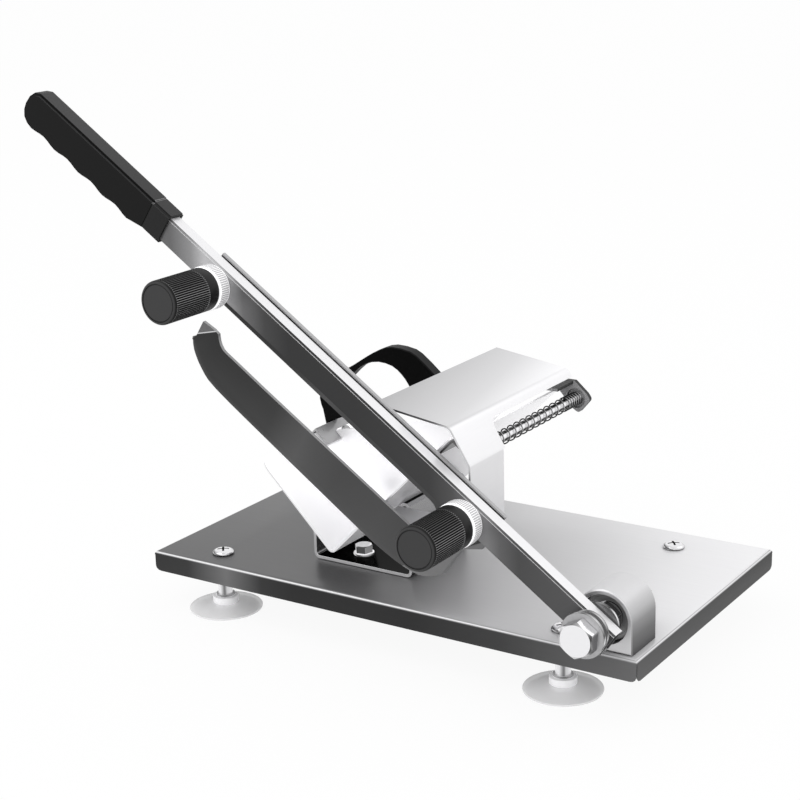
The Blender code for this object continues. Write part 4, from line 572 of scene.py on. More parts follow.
@dataclass(frozen=True)
class BrightMetal(Finish):
    """Bright plated or polished metal whose tone changes with the way that a surface faces: painted
    reflections, with painted shade in seams and on some edges.
    """

    across: Triple = (0.62, -0.25, 0.74)
    # Painted reflections: a tone for each way that a surface faces.
    stops: Stops = ((0.0, 40), (0.2, 120), (0.38, 214), (0.5, 120), (0.62, 226), (0.74, 70), (0.86, 190),
                    (1.0, 240))
    # One painted reflection tone on the faces that look this way.
    face: Triple = OPERATOR
    face_tone: float = 226
    face_leans: Point = (0.85, 0.97)
    # Painted shade in the seams and on some edges.
    shade_tone: float = 14
    seams: tuple[float, ...] = ()
    seam_reach: float = 0.0005
    # Painted shade on edges that lean this far towards the chosen face, on one side.
    edge_leans: Optional[Point] = None
    edge_side: Point = (0.0, 0.2)

    def ground(self, graph: Graph) -> Signal:
        """Painted reflection bands by direction with painted shade in seams and on edges, and one tone on the
        chosen face.
        """
        bands = graph.faces(self.across).ramp(-1.0, 1.0, self.stops)
        for seam in self.seams:
            bands = graph.blend(graph.reach(BACK).near(seam, self.seam_reach), bands, self.shade_tone)
        forward = graph.faces(self.face)
        if self.edge_leans:
            edge = forward.near(*self.edge_leans) * graph.faces(RIGHT).step(*self.edge_side)
            bands = graph.blend(edge, bands, self.shade_tone)
        return graph.blend(forward.step(*self.face_leans), bands, self.face_tone)


@dataclass(frozen=True)
class MouldedPlastic(Finish):
    """Black moulded plastic, with painted light that makes the faces looking towards one side paler."""

    roughness: float = 0.45
    relief: float = 0.00003
    speckle: float = 0.14


@dataclass(frozen=True)
class GripPlastic(MouldedPlastic):
    """The handle's plastic: a paler collar, and a seam with a painted highlight on top and painted shade in
    front.
    """

    collar_tone: float = 32
    seam: float = 0.35095
    seam_step: Point = (0.35075, 0.35115)
    seam_reach: float = 0.0007
    seam_leans: Point = (0.3, 0.6)
    # Painted shade in front of the seam and a painted highlight on its top.
    seam_shade_and_highlight: Point = (2, 190)
    # Painted light on the faces that look up.
    patches: tuple[Patch, ...] = (Patch(ABOVE_LEVER, (0.75, 0.95), 56),)

    def ground(self, graph: Graph) -> Signal:
        """Tones of the collar and the grip."""
        return graph.blend(graph.reach(ALONG_LEVER).step(*self.seam_step), self.collar_tone, self.tone)

    def colour(self, graph: Graph) -> Signal:
        """The seam's painted highlight and shade over the rest."""
        line = graph.blend(graph.faces(ABOVE_LEVER).step(*self.seam_leans), *self.seam_shade_and_highlight)
        seam = graph.reach(ALONG_LEVER).near(self.seam, self.seam_reach)
        return graph.blend(seam, super().colour(graph), line)


# Mesh code

def circle(steps: int) -> list[float]:
    """The angles of a turn's steps."""
    return [2 * math.pi * i / steps for i in range(steps)]


def band(bm: Mesh, near: Sequence[bmesh.types.BMVert], far: Sequence[bmesh.types.BMVert]) -> None:
    """Join two rings of vertices by faces."""
    for i in range(len(near)):
        bm.faces.new((near[i - 1], near[i], far[i], far[i - 1]))


def welded(bm: Mesh) -> Mesh:
    """The same mesh, with vertices in one place made one."""
    bmesh.ops.remove_doubles(bm, verts=bm.verts, dist=1e-7)
    return bm


def lathe(profile: Sequence[Point], sides: int = 72) -> Mesh:
    """Turn a closed profile of (radius, height) about Z."""
    return ribbed(profile, sides, 1)


def ribbed(profile: Sequence[tuple[float, ...]], ribs: int, points: int = 4) -> Mesh:
    """Turn a closed profile about Z, with flat-topped ribs where the profile gives a depth.

    Args:
        profile: points of (radius, height) or (radius, height, rib depth), in order round the section.
        ribs: ribs round the turn.
        points: points on each rib; half of them lie deep.

    Returns:
        The mesh.
    """
    bm = bmesh.new()
    rings = []
    for radius, height, *depth in profile:
        ring = []
        for i, angle in enumerate(circle(ribs * points)):
            r = radius - (depth[0] if depth and i % points >= points // 2 else 0.0)
            ring.append(bm.verts.new((r * math.cos(angle), r * math.sin(angle), height)))
        rings.append(ring)
    for k, high in enumerate(rings):
        if profile[k - 1][0] or profile[k][0]:
            band(bm, rings[k - 1], high)
    return welded(bm)


def soft_ring(inner: float, outer: float, low: float, high: float, edge: float) -> list[Point]:
    """A washer's section with its outer edges rounded by two facets."""
    bit = edge * 0.3
    return [(inner, low), (outer - edge, low), (outer - bit, low + bit), (outer, low + edge),
            (outer, high - edge), (outer - bit, high - bit), (outer - edge, high), (inner, high)]


def hexagon(flats: float, low: float, high: float, bore: float, corner: float, dome: float = 0.0,
            both: bool = False) -> Mesh:
    """A chamfered hexagonal head or nut about Z.

    Args:
        flats: size across the flats.
        low: height of the underside.
        high: height of the top.
        bore: radius of its hole, or 0.
        corner: angle of one corner, in radians.
        dome: how far the middle of a head's face rises.
        both: whether the underside is chamfered too.

    Returns:
        The mesh.
    """
    steps = 96
    chamfer_share = 0.97
    slope = math.tan(math.radians(30))
    round_off = flats / 2 * chamfer_share
    bm = bmesh.new()

    def ring(radius: Callable[[float], float], level: float, fall: float = 0.0) -> list[bmesh.types.BMVert]:
        """One ring of vertices, which falls from the chamfer's circle outwards."""
        made = []
        for angle in circle(steps):
            r = radius(angle)
            height = level - (r - round_off) * fall
            made.append(bm.verts.new((r * math.cos(angle), r * math.sin(angle), height)))
        return made

    def side(angle: float) -> float:
        """The hexagon's radius at an angle."""
        turn = (angle - corner - math.pi / 6) % (math.pi / 3)
        return flats / 2 / math.cos(min(turn, math.pi / 3 - turn))

    rings = [ring(side, high, slope), ring(lambda angle: round_off, high),
             ring(lambda angle: bore, high + (0 if bore else dome)), ring(lambda angle: bore, low)]
    if both:
        rings.append(ring(lambda angle: round_off, low))
    rings.append(ring(side, low, -slope if both else 0.0))
    # A head has no wall between the middles of its top and its underside.
    for k, inner in enumerate(rings):
        if bore or inner is not rings[3]:
            band(bm, rings[k - 1], inner)
    return welded(bm)


def join(*parts: Mesh) -> Mesh:
    """Put several meshes into the first."""
    whole = parts[0]
    for part in parts[1:]:
        mesh = bpy.data.meshes.new("part")
        part.to_mesh(mesh)
        part.free()
        whole.from_mesh(mesh)
        bpy.data.meshes.remove(mesh)
    return whole


def middle_of(node: str) -> Vector:
    """The middle of a solid's box."""
    low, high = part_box(node)
    return (low + high) / 2


def upright(node: str, level: float = 0.0) -> Matrix:
    """The frame of a turned piece that stands on a solid's upright middle line."""
    middle = middle_of(node)
    return Matrix.Translation((middle.x, middle.y, level))


def to_operator(node: str) -> Matrix:
    """The frame of a turned piece on a solid's middle line, with its axis towards the operator."""
    middle = middle_of(node)
    return Matrix(((1, 0, 0, middle.x), (0, 0, -1, 0), (0, 1, 0, middle.z), (0, 0, 0, 1)))


def put(name: str, data: Any) -> Piece:
    """Put new data into the scene as an object."""
    made = bpy.data.objects.new(name, data)
    bpy.context.scene.collection.objects.link(made)
    return made


def to_mesh(name: str, bm: Mesh, finish: Material) -> bpy.types.Mesh:
    """Make a mesh with a finish, and free what it was built in."""
    mesh = bpy.data.meshes.new(name)
    bm.to_mesh(mesh)
    bm.free()
    mesh.materials.append(finish)
    return mesh


def add_piece(name: str, bm: Mesh, finish: Material, replaces: Sequence[str], at: Matrix = Matrix(),
              crease: float = 32.0, body: Body = Body.BASE) -> Piece:
    """Make a scene piece, put it in the row frame and let it ride on its body.

    Args:
        name: the piece's name.
        bm: its mesh, which is used up.
        finish: its material.
        replaces: the solids that it stands for.
        at: its frame.
        crease: the angle in degrees above which an edge stays sharp.
        body: the body that it moves with.

    Returns:
        The piece.
    """
    bm.transform(at)
    bmesh.ops.recalc_face_normals(bm, faces=bm.faces)
    mesh = to_mesh(name, bm, finish)
    mesh.shade_smooth()
    mesh.set_sharp_from_angle(angle=math.radians(crease))
    piece = put(name, mesh)
    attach(piece, body.value)
    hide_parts(*replaces)
    log.info("built %s for %s", name, ", ".join(replaces))
    return piece


def paint(piece: Piece, finish: Material, chosen: Callable[[Vector], bool]) -> None:
    """Give a piece's chosen faces another finish.

    Args:
        piece: the piece.
        finish: the other finish.
        chosen: says from a face's middle whether the face takes it.
    """
    piece.data.materials.append(finish)
    last = len(piece.data.materials) - 1
    for face in piece.data.polygons:
        if chosen(face.center):
            face.material_index = last


class SolidDresser:
    """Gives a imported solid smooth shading, softened edges and a finish, through modifiers only."""

    def __init__(self, crease: float = 33.0, bevel_from: float = 40.0, weld: float = 1e-6) -> None:
        """Make the smoothing nodes, for the angles in degrees from which edges stay sharp or soften."""
        self.bevel_from = bevel_from
        self.nodes = bpy.data.node_groups.new("smooth_faces", "GeometryNodeTree")
        for way in ("INPUT", "OUTPUT"):
            self.nodes.interface.new_socket("Geometry", in_out=way, socket_type="NodeSocketGeometry")
        graph = Graph(self.nodes)
        plain = graph.node("GeometryNodeRemoveAttribute", {},
                           {"Geometry": graph.node("NodeGroupInput"), "Name": "custom_normal"})
        merged = graph.node("GeometryNodeMergeByDistance", {}, {"Geometry": plain, "Distance": weld})
        faces = graph.node("GeometryNodeSetShadeSmooth", {}, {"Geometry": merged})
        angle = graph.node("GeometryNodeInputMeshEdgeAngle", output="Unsigned Angle")
        sharp = graph.node("FunctionNodeCompare", {"operation": "GREATER_THAN"},
                           {0: angle, 1: math.radians(crease)})
        edges = graph.node("GeometryNodeSetShadeSmooth", {"domain": "EDGE"},
                           {"Geometry": faces, "Selection": sharp, "Shade Smooth": False})
        graph.node("NodeGroupOutput", {}, {0: edges})

    def dress(self, node: str, finish: Material, edge: float = SOFT_EDGE) -> None:
        """Dress one solid.

        Args:
            node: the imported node.
            finish: its material.
            edge: the width of its softened edges, or 0.
        """
        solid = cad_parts[node]
        for slot in solid.material_slots:
            slot.material = finish
        smooth = solid.modifiers.new("smooth_faces", "NODES")
        smooth.node_group = self.nodes
        if edge:
            bevel = solid.modifiers.new("soft_edges", "BEVEL")
            bevel.width = edge
            bevel.segments = 2
            bevel.limit_method = "ANGLE"
            bevel.angle_limit = math.radians(self.bevel_from)
            bevel.harden_normals = True
        log.info("dressed %s", node)


# Sub-assemblies

@dataclass
class Base:
    """The tray and its four feet."""

    cup_radius: float = 0.023
    cup_height: float = 0.0084
    neck_radius: float = 0.0080
    post_radius: float = 0.0045
    collar_radius: float = 0.0062
    collar_height: float = 0.0010
    head_radius: float = 0.0068
    head_height: float = 0.0032
    screw_radius: float = 0.003
    slot_width: float = 0.0013
    slot_length: float = 0.0074
    slot_depth: float = 0.0016
    slot_turns: Point = (38, 128)
    dome_angles: tuple[float, ...] = (0, 12, 24, 36, 48, 60, 72, 82)

    def build(self, dresser: SolidDresser) -> None:
        """Dress the tray and build the feet."""
        low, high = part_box("base_tray")
        tray = BrushedTray("brushed_tray", roughness=0.34, metallic=0.25, specular=0.3, speckle=0.10,
                           grain=(26, 2600, 2600), relief=FINE_RELIEF, origin=(low.x, low.y, high.z))
        dresser.dress("base_tray", tray.material(), 0.0)
        # The screw heads' tones are painted reflections.
        bright = BrightMetal("plated_foot", roughness=0.16, metallic=1.0, face=UP, face_tone=236).material()
        # Painted shade on the walls of the screws' cross recesses.
        recess = Finish("screw_recess_shade", tone=24, roughness=0.5, metallic=0.6).material()
        # The posts' tones are painted reflections, and posts, cups and necks carry a weak painted glow.
        post = BrightMetal("foot_post", roughness=0.25, metallic=0.5, glow=0.12, across=(1, 0.4, 0), face=UP,
                           stops=((0.0, 250), (0.3, 236), (0.5, 150), (0.62, 110), (0.75, 210),
                                  (1.0, 250))).material()
        cup = Finish("soft_cup", tone=236, roughness=0.3, specular=0.2, speckle=0.02, glow=0.06,
                     alpha=0.55).material()
        neck = Finish("soft_neck", tone=252, roughness=0.3, specular=0.3, speckle=0.02,
                      glow=0.16).material()
        for corner in ("front_left", "front_right", "rear_left", "rear_right"):
            self._cup(corner, cup, neck)
            self._post(corner, post)
            self._screw(corner, high.z, bright, recess)

    def _cup(self, corner: str, finish: Material, neck_finish: Material) -> None:
        """A flat flared cup with a rounded rim and a white neck above a dark waist."""
        node = "suction_cup_" + corner
        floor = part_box(node)[0].z
        r, h, neck = self.cup_radius, self.cup_height, self.neck_radius
        bore, deep, waist = self.screw_radius + BORE_GAP, h - 0.0046, neck - 0.0022
        soft = 0.0005
        profile = [(0, deep), (bore, deep), (bore, h), (neck - soft, h), (neck - soft * 0.3, h - soft * 0.3),
                   (neck, h - soft), (neck, h * 0.52), (neck - soft, h * 0.46), (waist, h * 0.44),
                   (waist, h * 0.36), (neck, h * 0.31), (r * 0.55, h * 0.26), (r * 0.75, h * 0.21),
                   (r * 0.92, h * 0.16), (r - 0.0003, h * 0.13), (r, h * 0.08), (r - 0.0002, 0.0),
                   (r - 0.0022, 0.0), (r * 0.78, 0.0007), (r * 0.5, 0.0012), (0, 0.0014)]
        piece = add_piece("cup_" + corner, lathe(profile), finish, [node], upright(node, floor))
        paint(piece, neck_finish, lambda centre: centre.z > floor + h * 0.42)

    def _post(self, corner: str, finish: Material) -> None:
        """A spacer with a ringed collar on the cup."""
        node = "foot_post_" + corner
        low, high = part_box(node)
        tall, collar, soft = self.collar_height, self.collar_radius, 0.0004
        bore = self.screw_radius + BORE_GAP
        rings = [(collar - soft, 0), (collar, soft), (collar, tall * 0.38), (collar - soft, tall * 0.5),
                 (collar, tall * 0.62), (collar, tall - soft), (collar - soft, tall),
                 (self.post_radius, tall)]
        profile = ([(bore, low.z)] + [(radius, low.z + rise) for radius, rise in rings]
                   + [(self.post_radius, high.z), (bore, high.z)])
        add_piece("post_" + corner, lathe(profile), finish, [node], upright("suction_cup_" + corner))

    def _screw(self, corner: str, top: float, bright: Material, recess: Material) -> None:
        """A pan head screw with a crossed recess in its domed head."""
        node = "foot_screw_" + corner
        at = upright("suction_cup_" + corner)
        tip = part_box(node)[0].z
        r, h, seat = self.head_radius, self.head_height, top + SEAT_GAP
        soft, brim_share = 0.0003, 0.28
        dome = [(r * math.cos(a), top + h * (brim_share + (1 - brim_share) * math.sin(a)))
                for a in map(math.radians, self.dome_angles)]
        profile = ([(0, tip), (self.screw_radius, tip), (self.screw_radius, seat), (r - soft, seat),
                    (r, seat + soft)] + dome + [(0, top + h)])
        head = add_piece("screw_" + corner, lathe(profile), bright, [node], at)
        arm = Matrix.Diagonal((self.slot_length, self.slot_width, 2 * self.slot_depth, 1))
        for i, turn in enumerate(self.slot_turns):
            place = at @ Matrix.Translation((0, 0, top + h)) @ Matrix.Rotation(math.radians(turn), 4, "Z")
            self._carve(head, place @ arm, recess, "recess_%s_%d" % (corner, i))

    @staticmethod
    def _carve(head: Piece, shape: Matrix, recess: Material, name: str) -> None:
        """Cut one arm of the recess and leave its walls in painted shade."""
        arm = bmesh.new()
        bmesh.ops.create_cube(arm, size=1.0)
        arm.transform(shape)
        tool = put(name, to_mesh(name, arm, recess))
        cut = head.modifiers.new("recess", "BOOLEAN")
        cut.operation = "DIFFERENCE"
        cut.solver = "EXACT"
        cut.material_mode = "TRANSFER"
        cut.object = tool
        bpy.context.view_layer.update()
        carved = bpy.data.meshes.new_from_object(head.evaluated_get(bpy.context.evaluated_depsgraph_get()))
        head.modifiers.clear()
        head.data = carved
        bpy.data.objects.remove(tool)


@dataclass
class Pivot:
    """The bearing block and the stack that the pivot bolt clamps."""

    flats: float = 0.0185
    bolt_radius: float = 0.006
    bolt_chamfer: float = 0.0008
    bearing_radius: float = 0.014
    race: float = 0.0024
    shield_depth: float = 0.0006
    washer_radii: Mapping[str, float] = field(default_factory=lambda: {
        "pivot_washer_front": 0.012, "pivot_washer_head": 0.013, "pivot_washer_back": 0.012,
        "pivot_washer_rear": 0.012})
    edge: float = 0.0005
    face_rise: float = 0.0002
    crease: float = 24.0

    def build(self, dresser: SolidDresser) -> None:
        """Dress the block and build the bolt, its washers and nuts and the bearings."""
        block = BlockAluminium("satin_block", roughness=0.42, metallic=0.75, speckle=0.07,
                               grain=(1800, 240, 1800), relief=FINE_RELIEF, origin=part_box("pivot_block")[0])
        dresser.dress("pivot_block", block.material(), 0.0003)
        # The bolt's, washers', nuts' and races' tones are painted reflections; several carry a weak painted
        # glow.
        bright = BrightMetal("bright_bolt", roughness=0.15, metallic=1.0, speckle=0.05, glow=0.14,
                             grain=(700, 700, 700), edge_leans=(0.84, 0.16),
                             edge_side=(0.28, 0.48)).material()
        stack = ("pivot_washer_head", "pivot_spring_washer", "pivot_washer_front")
        # Where the stacked washers meet, which take painted shade.
        seams = tuple(side.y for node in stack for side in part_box(node))
        washers = BrightMetal("bright_washer", roughness=0.2, metallic=0.5, face_tone=170, speckle=0.3,
                              grain=(500, 500, 500), seams=seams, edge_leans=(0.6, 0.16),
                              edge_side=(-1.2, -1.0),
                              stops=((0.0, 20), (0.25, 70), (0.5, 120), (0.6, 240), (0.66, 50), (0.78, 230),
                                     (0.88, 30), (1.0, 200))).material()
        # A copy in painted shade for the nuts and the back washer.
        shaded = BrightMetal("shaded_nut", roughness=0.18, metallic=0.6, face_tone=112, speckle=0.2, glow=0.2,
                             grain=(600, 600, 600), across=(0.85, -0.2, 0.49),
                             stops=((0.0, 10), (0.3, 30), (0.45, 60), (0.54, 244), (0.62, 30), (0.8, 140),
                                    (0.94, 40), (1.0, 220))).material()
        race = BrightMetal("bearing_race", roughness=0.3, metallic=0.5, face_tone=128, glow=0.12,
                           stops=((0.0, 10), (0.4, 40), (0.6, 150), (0.8, 90), (1.0, 30))).material()
        for node in ("block_screw_front", "block_screw_rear"):
            dresser.dress(node, bright)
        dresser.dress("pivot_spring_washer", washers, 0.0004)
        at = to_operator("pivot_bearing_front")
        self._bolt(at, bright)
        for node in ("pivot_jam_nut", "pivot_rear_nut"):
            low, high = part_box(node)
            nut = hexagon(self.flats, -high.y, -low.y, self.bolt_radius + BORE_GAP, self._corner, both=True)
            add_piece(node.replace("pivot_", "bolt_"), nut, shaded, [node], at, self.crease, Body.LEVER)
        for node, radius in self.washer_radii.items():
            low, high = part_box(node)
            ring = lathe(soft_ring(self.bolt_radius + BORE_GAP, radius, -high.y, -low.y, self.edge))
            # The back washer takes the painted shade of the nuts.
            plated = shaded if node == "pivot_washer_back" else washers
            add_piece(node.replace("pivot_", "bolt_"), ring, plated, [node], at, body=Body.LEVER)
        for node in ("pivot_bearing_front", "pivot_bearing_rear"):
            self._bearing(node, at, race)

    @property
    def _corner(self) -> float:
        """The angle of a corner of the hexagons, which lie square to the lever."""
        return math.pi - LEVER_ANGLE

    def _bolt(self, at: Matrix, finish: Material) -> None:
        """The bolt: a shank with a chamfered end, and a head that sits on its washer."""
        low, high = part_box("pivot_bolt")
        seat = SEAT_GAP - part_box("pivot_washer_head")[0].y
        r, chamfer, end = self.bolt_radius, self.bolt_chamfer, -high.y
        shank = lathe([(0, end), (r - chamfer, end), (r, end + chamfer), (r, seat), (0, seat)])
        head = hexagon(self.flats, seat, -low.y, 0.0, self._corner, self.face_rise)
        add_piece("bolt", join(head, shank), finish, ["pivot_bolt"], at, self.crease, Body.LEVER)

    def _bearing(self, node: str, at: Matrix, finish: Material) -> None:
        """A bearing with rounded races and a sunk shield."""
        low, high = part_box(node)
        bore, outer, race = self.bolt_radius + 0.0001, self.bearing_radius, self.race
        soft = 0.0003

        def face(level: float, inwards: float) -> list[Point]:
            """The section across one face, from the bore outwards."""
            sunk = level + self.shield_depth * inwards
            rounded = level + soft * inwards
            return [(bore, rounded), (bore + soft, level), (bore + race - soft, level), (bore + race, sunk),
                    (outer - race, sunk), (outer - race + soft, level), (outer - soft, level),
                    (outer, rounded)]

        profile = face(-high.y, 1) + face(-low.y, -1)[::-1]
        add_piece(node.replace("pivot_", ""), lathe(profile), finish, [node], at)


@dataclass
class Lever:
    """The tube, the handle, the blade and the two clamp knobs."""

    knob_radius: float = 0.0127
    knob_ribs: int = 62
    rib_depth: float = 0.00042
    knob_skirt: float = 0.0085
    knob_round: float = 0.0016
    ring_radius: float = 0.0131
    ring_ribs: int = 64
    ring_rib: float = 0.0003
    stud_radius: float = 0.0022
    stud_gap: float = 0.0001
    rib_root: float = 0.85
    bore_depth: float = 0.0163
    crease: float = 28.0

    def build(self, dresser: SolidDresser) -> None:
        """Dress the tube, handle and blade and build the knobs and rings."""
        pivot = middle_of("pivot_bearing_front")
        brushed = {"grain": (20, 2600, 2600), "turn": LEVER_ANGLE, "relief": FINE_RELIEF, "origin": pivot}
        tube = BrushedLever("brushed_lever", roughness=0.36, metallic=0.5, specular=0.1, speckle=0.10,
                            **brushed)
        dresser.dress("lever_tube", tube.material(), 0.0)
        blade = BladeSteel("dark_blade", roughness=0.38, metallic=0.3, speckle=0.12, **brushed)
        dresser.dress("blade", blade.material(), 0.0)
        grip = GripPlastic("grip_plastic", tone=11, roughness=0.5, specular=0.15, relief=0.00004,
                           grain=(2600, 2600, 2600), speckle=0.18, origin=pivot).material()
        dresser.dress("handle_grip", grip, 0.0005)
        dresser.dress("handle_collar", grip, 0.0004)
        bright = BrightMetal("bright_stud", roughness=0.18, metallic=1.0).material()
        # Painted light on the knobs' faces towards the operator.
        knob = MouldedPlastic("knob_plastic", tone=12, roughness=0.46, specular=0.2,
                              grain=(3000, 3000, 3000),
                              patches=(Patch(OPERATOR, PLASTIC_LEANS, 56),)).material()
        # Painted highlights on the ribs' crests and painted shade in their grooves.
        crest_highlight = BrightMetal("rib_crest_highlight", roughness=0.42, specular=0.3, across=(0.8, 0, -0.6), face_tone=70,
                            stops=((0.0, 30), (0.3, 52), (0.6, 84), (0.85, 140), (1.0, 90))).material()
        groove_shade = Finish("rib_groove_shade", tone=5, roughness=0.6, specular=0.1).material()
        # The lock rings glow weakly, a painted light, with painted shade in the knurl's notches.
        ring = BrightMetal("knurled_ring", roughness=0.28, metallic=0.15, glow=0.3, face_tone=206,
                           stops=((0.0, 250), (0.5, 255), (1.0, 255))).material()
        notch_shade = Finish("knurl_notch_shade", tone=206, roughness=0.4, metallic=0.2).material()
        for level, knob_body, ring_body in (("lower", Body.LOWER_KNOB, Body.LOWER_LOCK_RING),
                                            ("upper", Body.UPPER_KNOB, Body.UPPER_LOCK_RING)):
            dresser.dress("stud_" + level, bright)
            self._knob("knob_" + level, knob_body, knob, crest_highlight, groove_shade)
            self._ring(level, ring_body, ring, notch_shade)

    def _knob(self, node: str, body: Body, finish: Material, crest_highlight: Material, groove_shade: Material) -> None:
        """A finely ribbed knob with a plain skirt and a sunk line round its face."""
        low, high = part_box(node)
        rear, face = -high.y, -low.y
        r, rib, rounding = self.knob_radius, self.rib_depth, self.knob_round
        bore = self.stud_radius + self.stud_gap
        deep = rear + self.bore_depth
        skirt = rear + self.knob_skirt
        sunk, line = face - 0.0001, face - 0.0004
        soft, bit, run = 0.0009, 0.0003, 0.0007
        rim = face - rounding - 0.0001
        profile = [(0, deep), (bore, deep), (bore, rear), (r - soft, rear), (r - bit, rear + bit),
                   (r, rear + soft), (r, skirt), (r, skirt + run, rib), (r, rim - run, rib), (r, rim)]
        profile += [(r - rounding + rounding * math.sin(a), face - rounding + rounding * math.cos(a))
                    for a in map(math.radians, (72, 54, 36, 18, 0))]
        profile += [(r - 0.0017, face), (r - 0.0019, line), (r - 0.0021, line), (r - 0.0024, sunk), (0, sunk)]
        piece = add_piece("clamp_" + node, ribbed(profile, self.knob_ribs), finish, [node], to_operator(node),
                          self.crease, body)
        split = r - rib / 2
        reach = (0.0020 - face, -(skirt + 0.0001))
        # Painted shade in the grooves, and painted highlights on the crests.
        self._paint_ribs(piece, node, reach, (r * self.rib_root, split), groove_shade)
        self._paint_ribs(piece, node, reach, (split, r), crest_highlight)

    def _ring(self, level: str, body: Body, finish: Material, notch_shade: Material) -> None:
        """A bright lock ring with a fine straight knurl."""
        node = "lock_ring_" + level
        low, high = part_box(node)
        rear, face = -high.y, -low.y
        r, rib, bore = self.ring_radius, self.ring_rib, self.stud_radius + self.stud_gap
        soft, bit, rise, run = 0.0010, 0.0002, 0.0008, 0.0012
        profile = [(bore, face), (bore, rear), (r - soft, rear), (r - bit, rear + rise), (r, rear + run, rib),
                   (r, face - run, rib), (r - bit, face - rise), (r - soft, face)]
        piece = add_piece("knurled_ring_" + level, ribbed(profile, self.ring_ribs), finish, [node],
                          to_operator(node), self.crease, body)
        reach = (0.0013 - face, -0.0013 - rear)
        # Painted shade in the knurl's notches.
        self._paint_ribs(piece, node, reach, (r * self.rib_root, r - rib / 2), notch_shade)

    @staticmethod
    def _paint_ribs(piece: Piece, node: str, reach: Point, radii: Point, finish: Material) -> None:
        """Paint a ribbed piece between two radii.

        Args:
            piece: the ribbed piece.
            node: the solid whose middle line it turns on.
            reach: the ribs' front and back, along Y.
            radii: the inner and the outer radius.
            finish: what the faces there take.
        """
        middle = middle_of(node)

        def chosen(centre: Vector) -> bool:
            """Whether a face lies in the reach and between the radii."""
            out = math.hypot(centre.x - middle.x, centre.z - middle.z)
            return reach[0] < centre.y < reach[1] and radii[0] <= out < radii[1]

        paint(piece, finish, chosen)


@dataclass
class Trough:
    """The V trough, the hood, the bracket and their fasteners."""

    small_flats: float = 0.010
    small_bolt: float = 0.003
    small_dome: float = 0.0004
    bolt_turn: float = 12.0
    washer_radius: float = 0.0065
    washer_edge: float = 0.0005
    crease: float = 24.0

    def build(self, dresser: SolidDresser) -> None:
        """Dress the sheets and build the bracket's bolts."""
        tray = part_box("base_tray")[0]
        satin = {"roughness": 0.36, "grain": (1500, 60, 1500), "speckle": 0.04}
        # The sheets and the bracket carry a weak painted glow that lifts them where shade falls.
        sheet = TroughSheet("satin_trough", metallic=0.7, glow=0.24, origin=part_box("trough")[0], **satin)
        hood = HoodSheet("satin_hood", metallic=0.6, glow=0.16, origin=(tray.x, tray.y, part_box("hood")[1].z),
                         **satin)
        # The bracket's near-black tone and dark reflection tint are painted reflections of the shaded
        # underside above it.
        mirror = MirrorBracket("polished_bracket", tone=16, roughness=0.12, metallic=0.85, tint=0.05,
                               speckle=0.05, glow=0.3, grain=(200, 200, 200))
        for node, finish, edge in (("trough", sheet, 0.00025), ("hood", hood, 0.00025),
                                   ("trough_bracket", mirror, 0.0003)):
            dresser.dress(node, finish.material(), edge)
        # The small bolts' tones are painted reflections, lifted by a weak painted glow.
        bright = BrightMetal("small_bolt", roughness=0.16, metallic=0.35, glow=0.45, face=UP, face_tone=244,
                             across=(0.75, -0.6, 0.2),
                             stops=((0.0, 60), (0.3, 110), (0.45, 232), (0.6, 252), (0.72, 110), (0.86, 60),
                                    (1.0, 190))).material()
        for place in ("front", "rear"):
            self._bracket_bolt(place, bright)
            dresser.dress("bracket_nut_" + place, bright)
        for side in ("left", "right"):
            dresser.dress("trough_screw_" + side, bright, 0.0001)
            dresser.dress("trough_nut_" + side, bright)

    def _bracket_bolt(self, place: str, finish: Material) -> None:
        """A hex bolt with a chamfered head, and its washer with a soft rim."""
        bolt, washer = "bracket_bolt_" + place, "bracket_washer_" + place
        low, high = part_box(bolt)
        under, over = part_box(washer)
        at = upright(washer)
        r, seat = self.small_bolt, over.z + SEAT_GAP
        shank = lathe([(0, low.z), (r, low.z), (r, seat), (0, seat)], 48)
        head = hexagon(self.small_flats, seat, high.z, 0.0, math.radians(self.bolt_turn), self.small_dome)
        add_piece("foot_bolt_" + place, join(head, shank), finish, [bolt], at, self.crease)
        ring = soft_ring(r + BORE_GAP, self.washer_radius, under.z, over.z, self.washer_edge)
        add_piece("foot_washer_" + place, lathe(ring), finish, [washer], at)


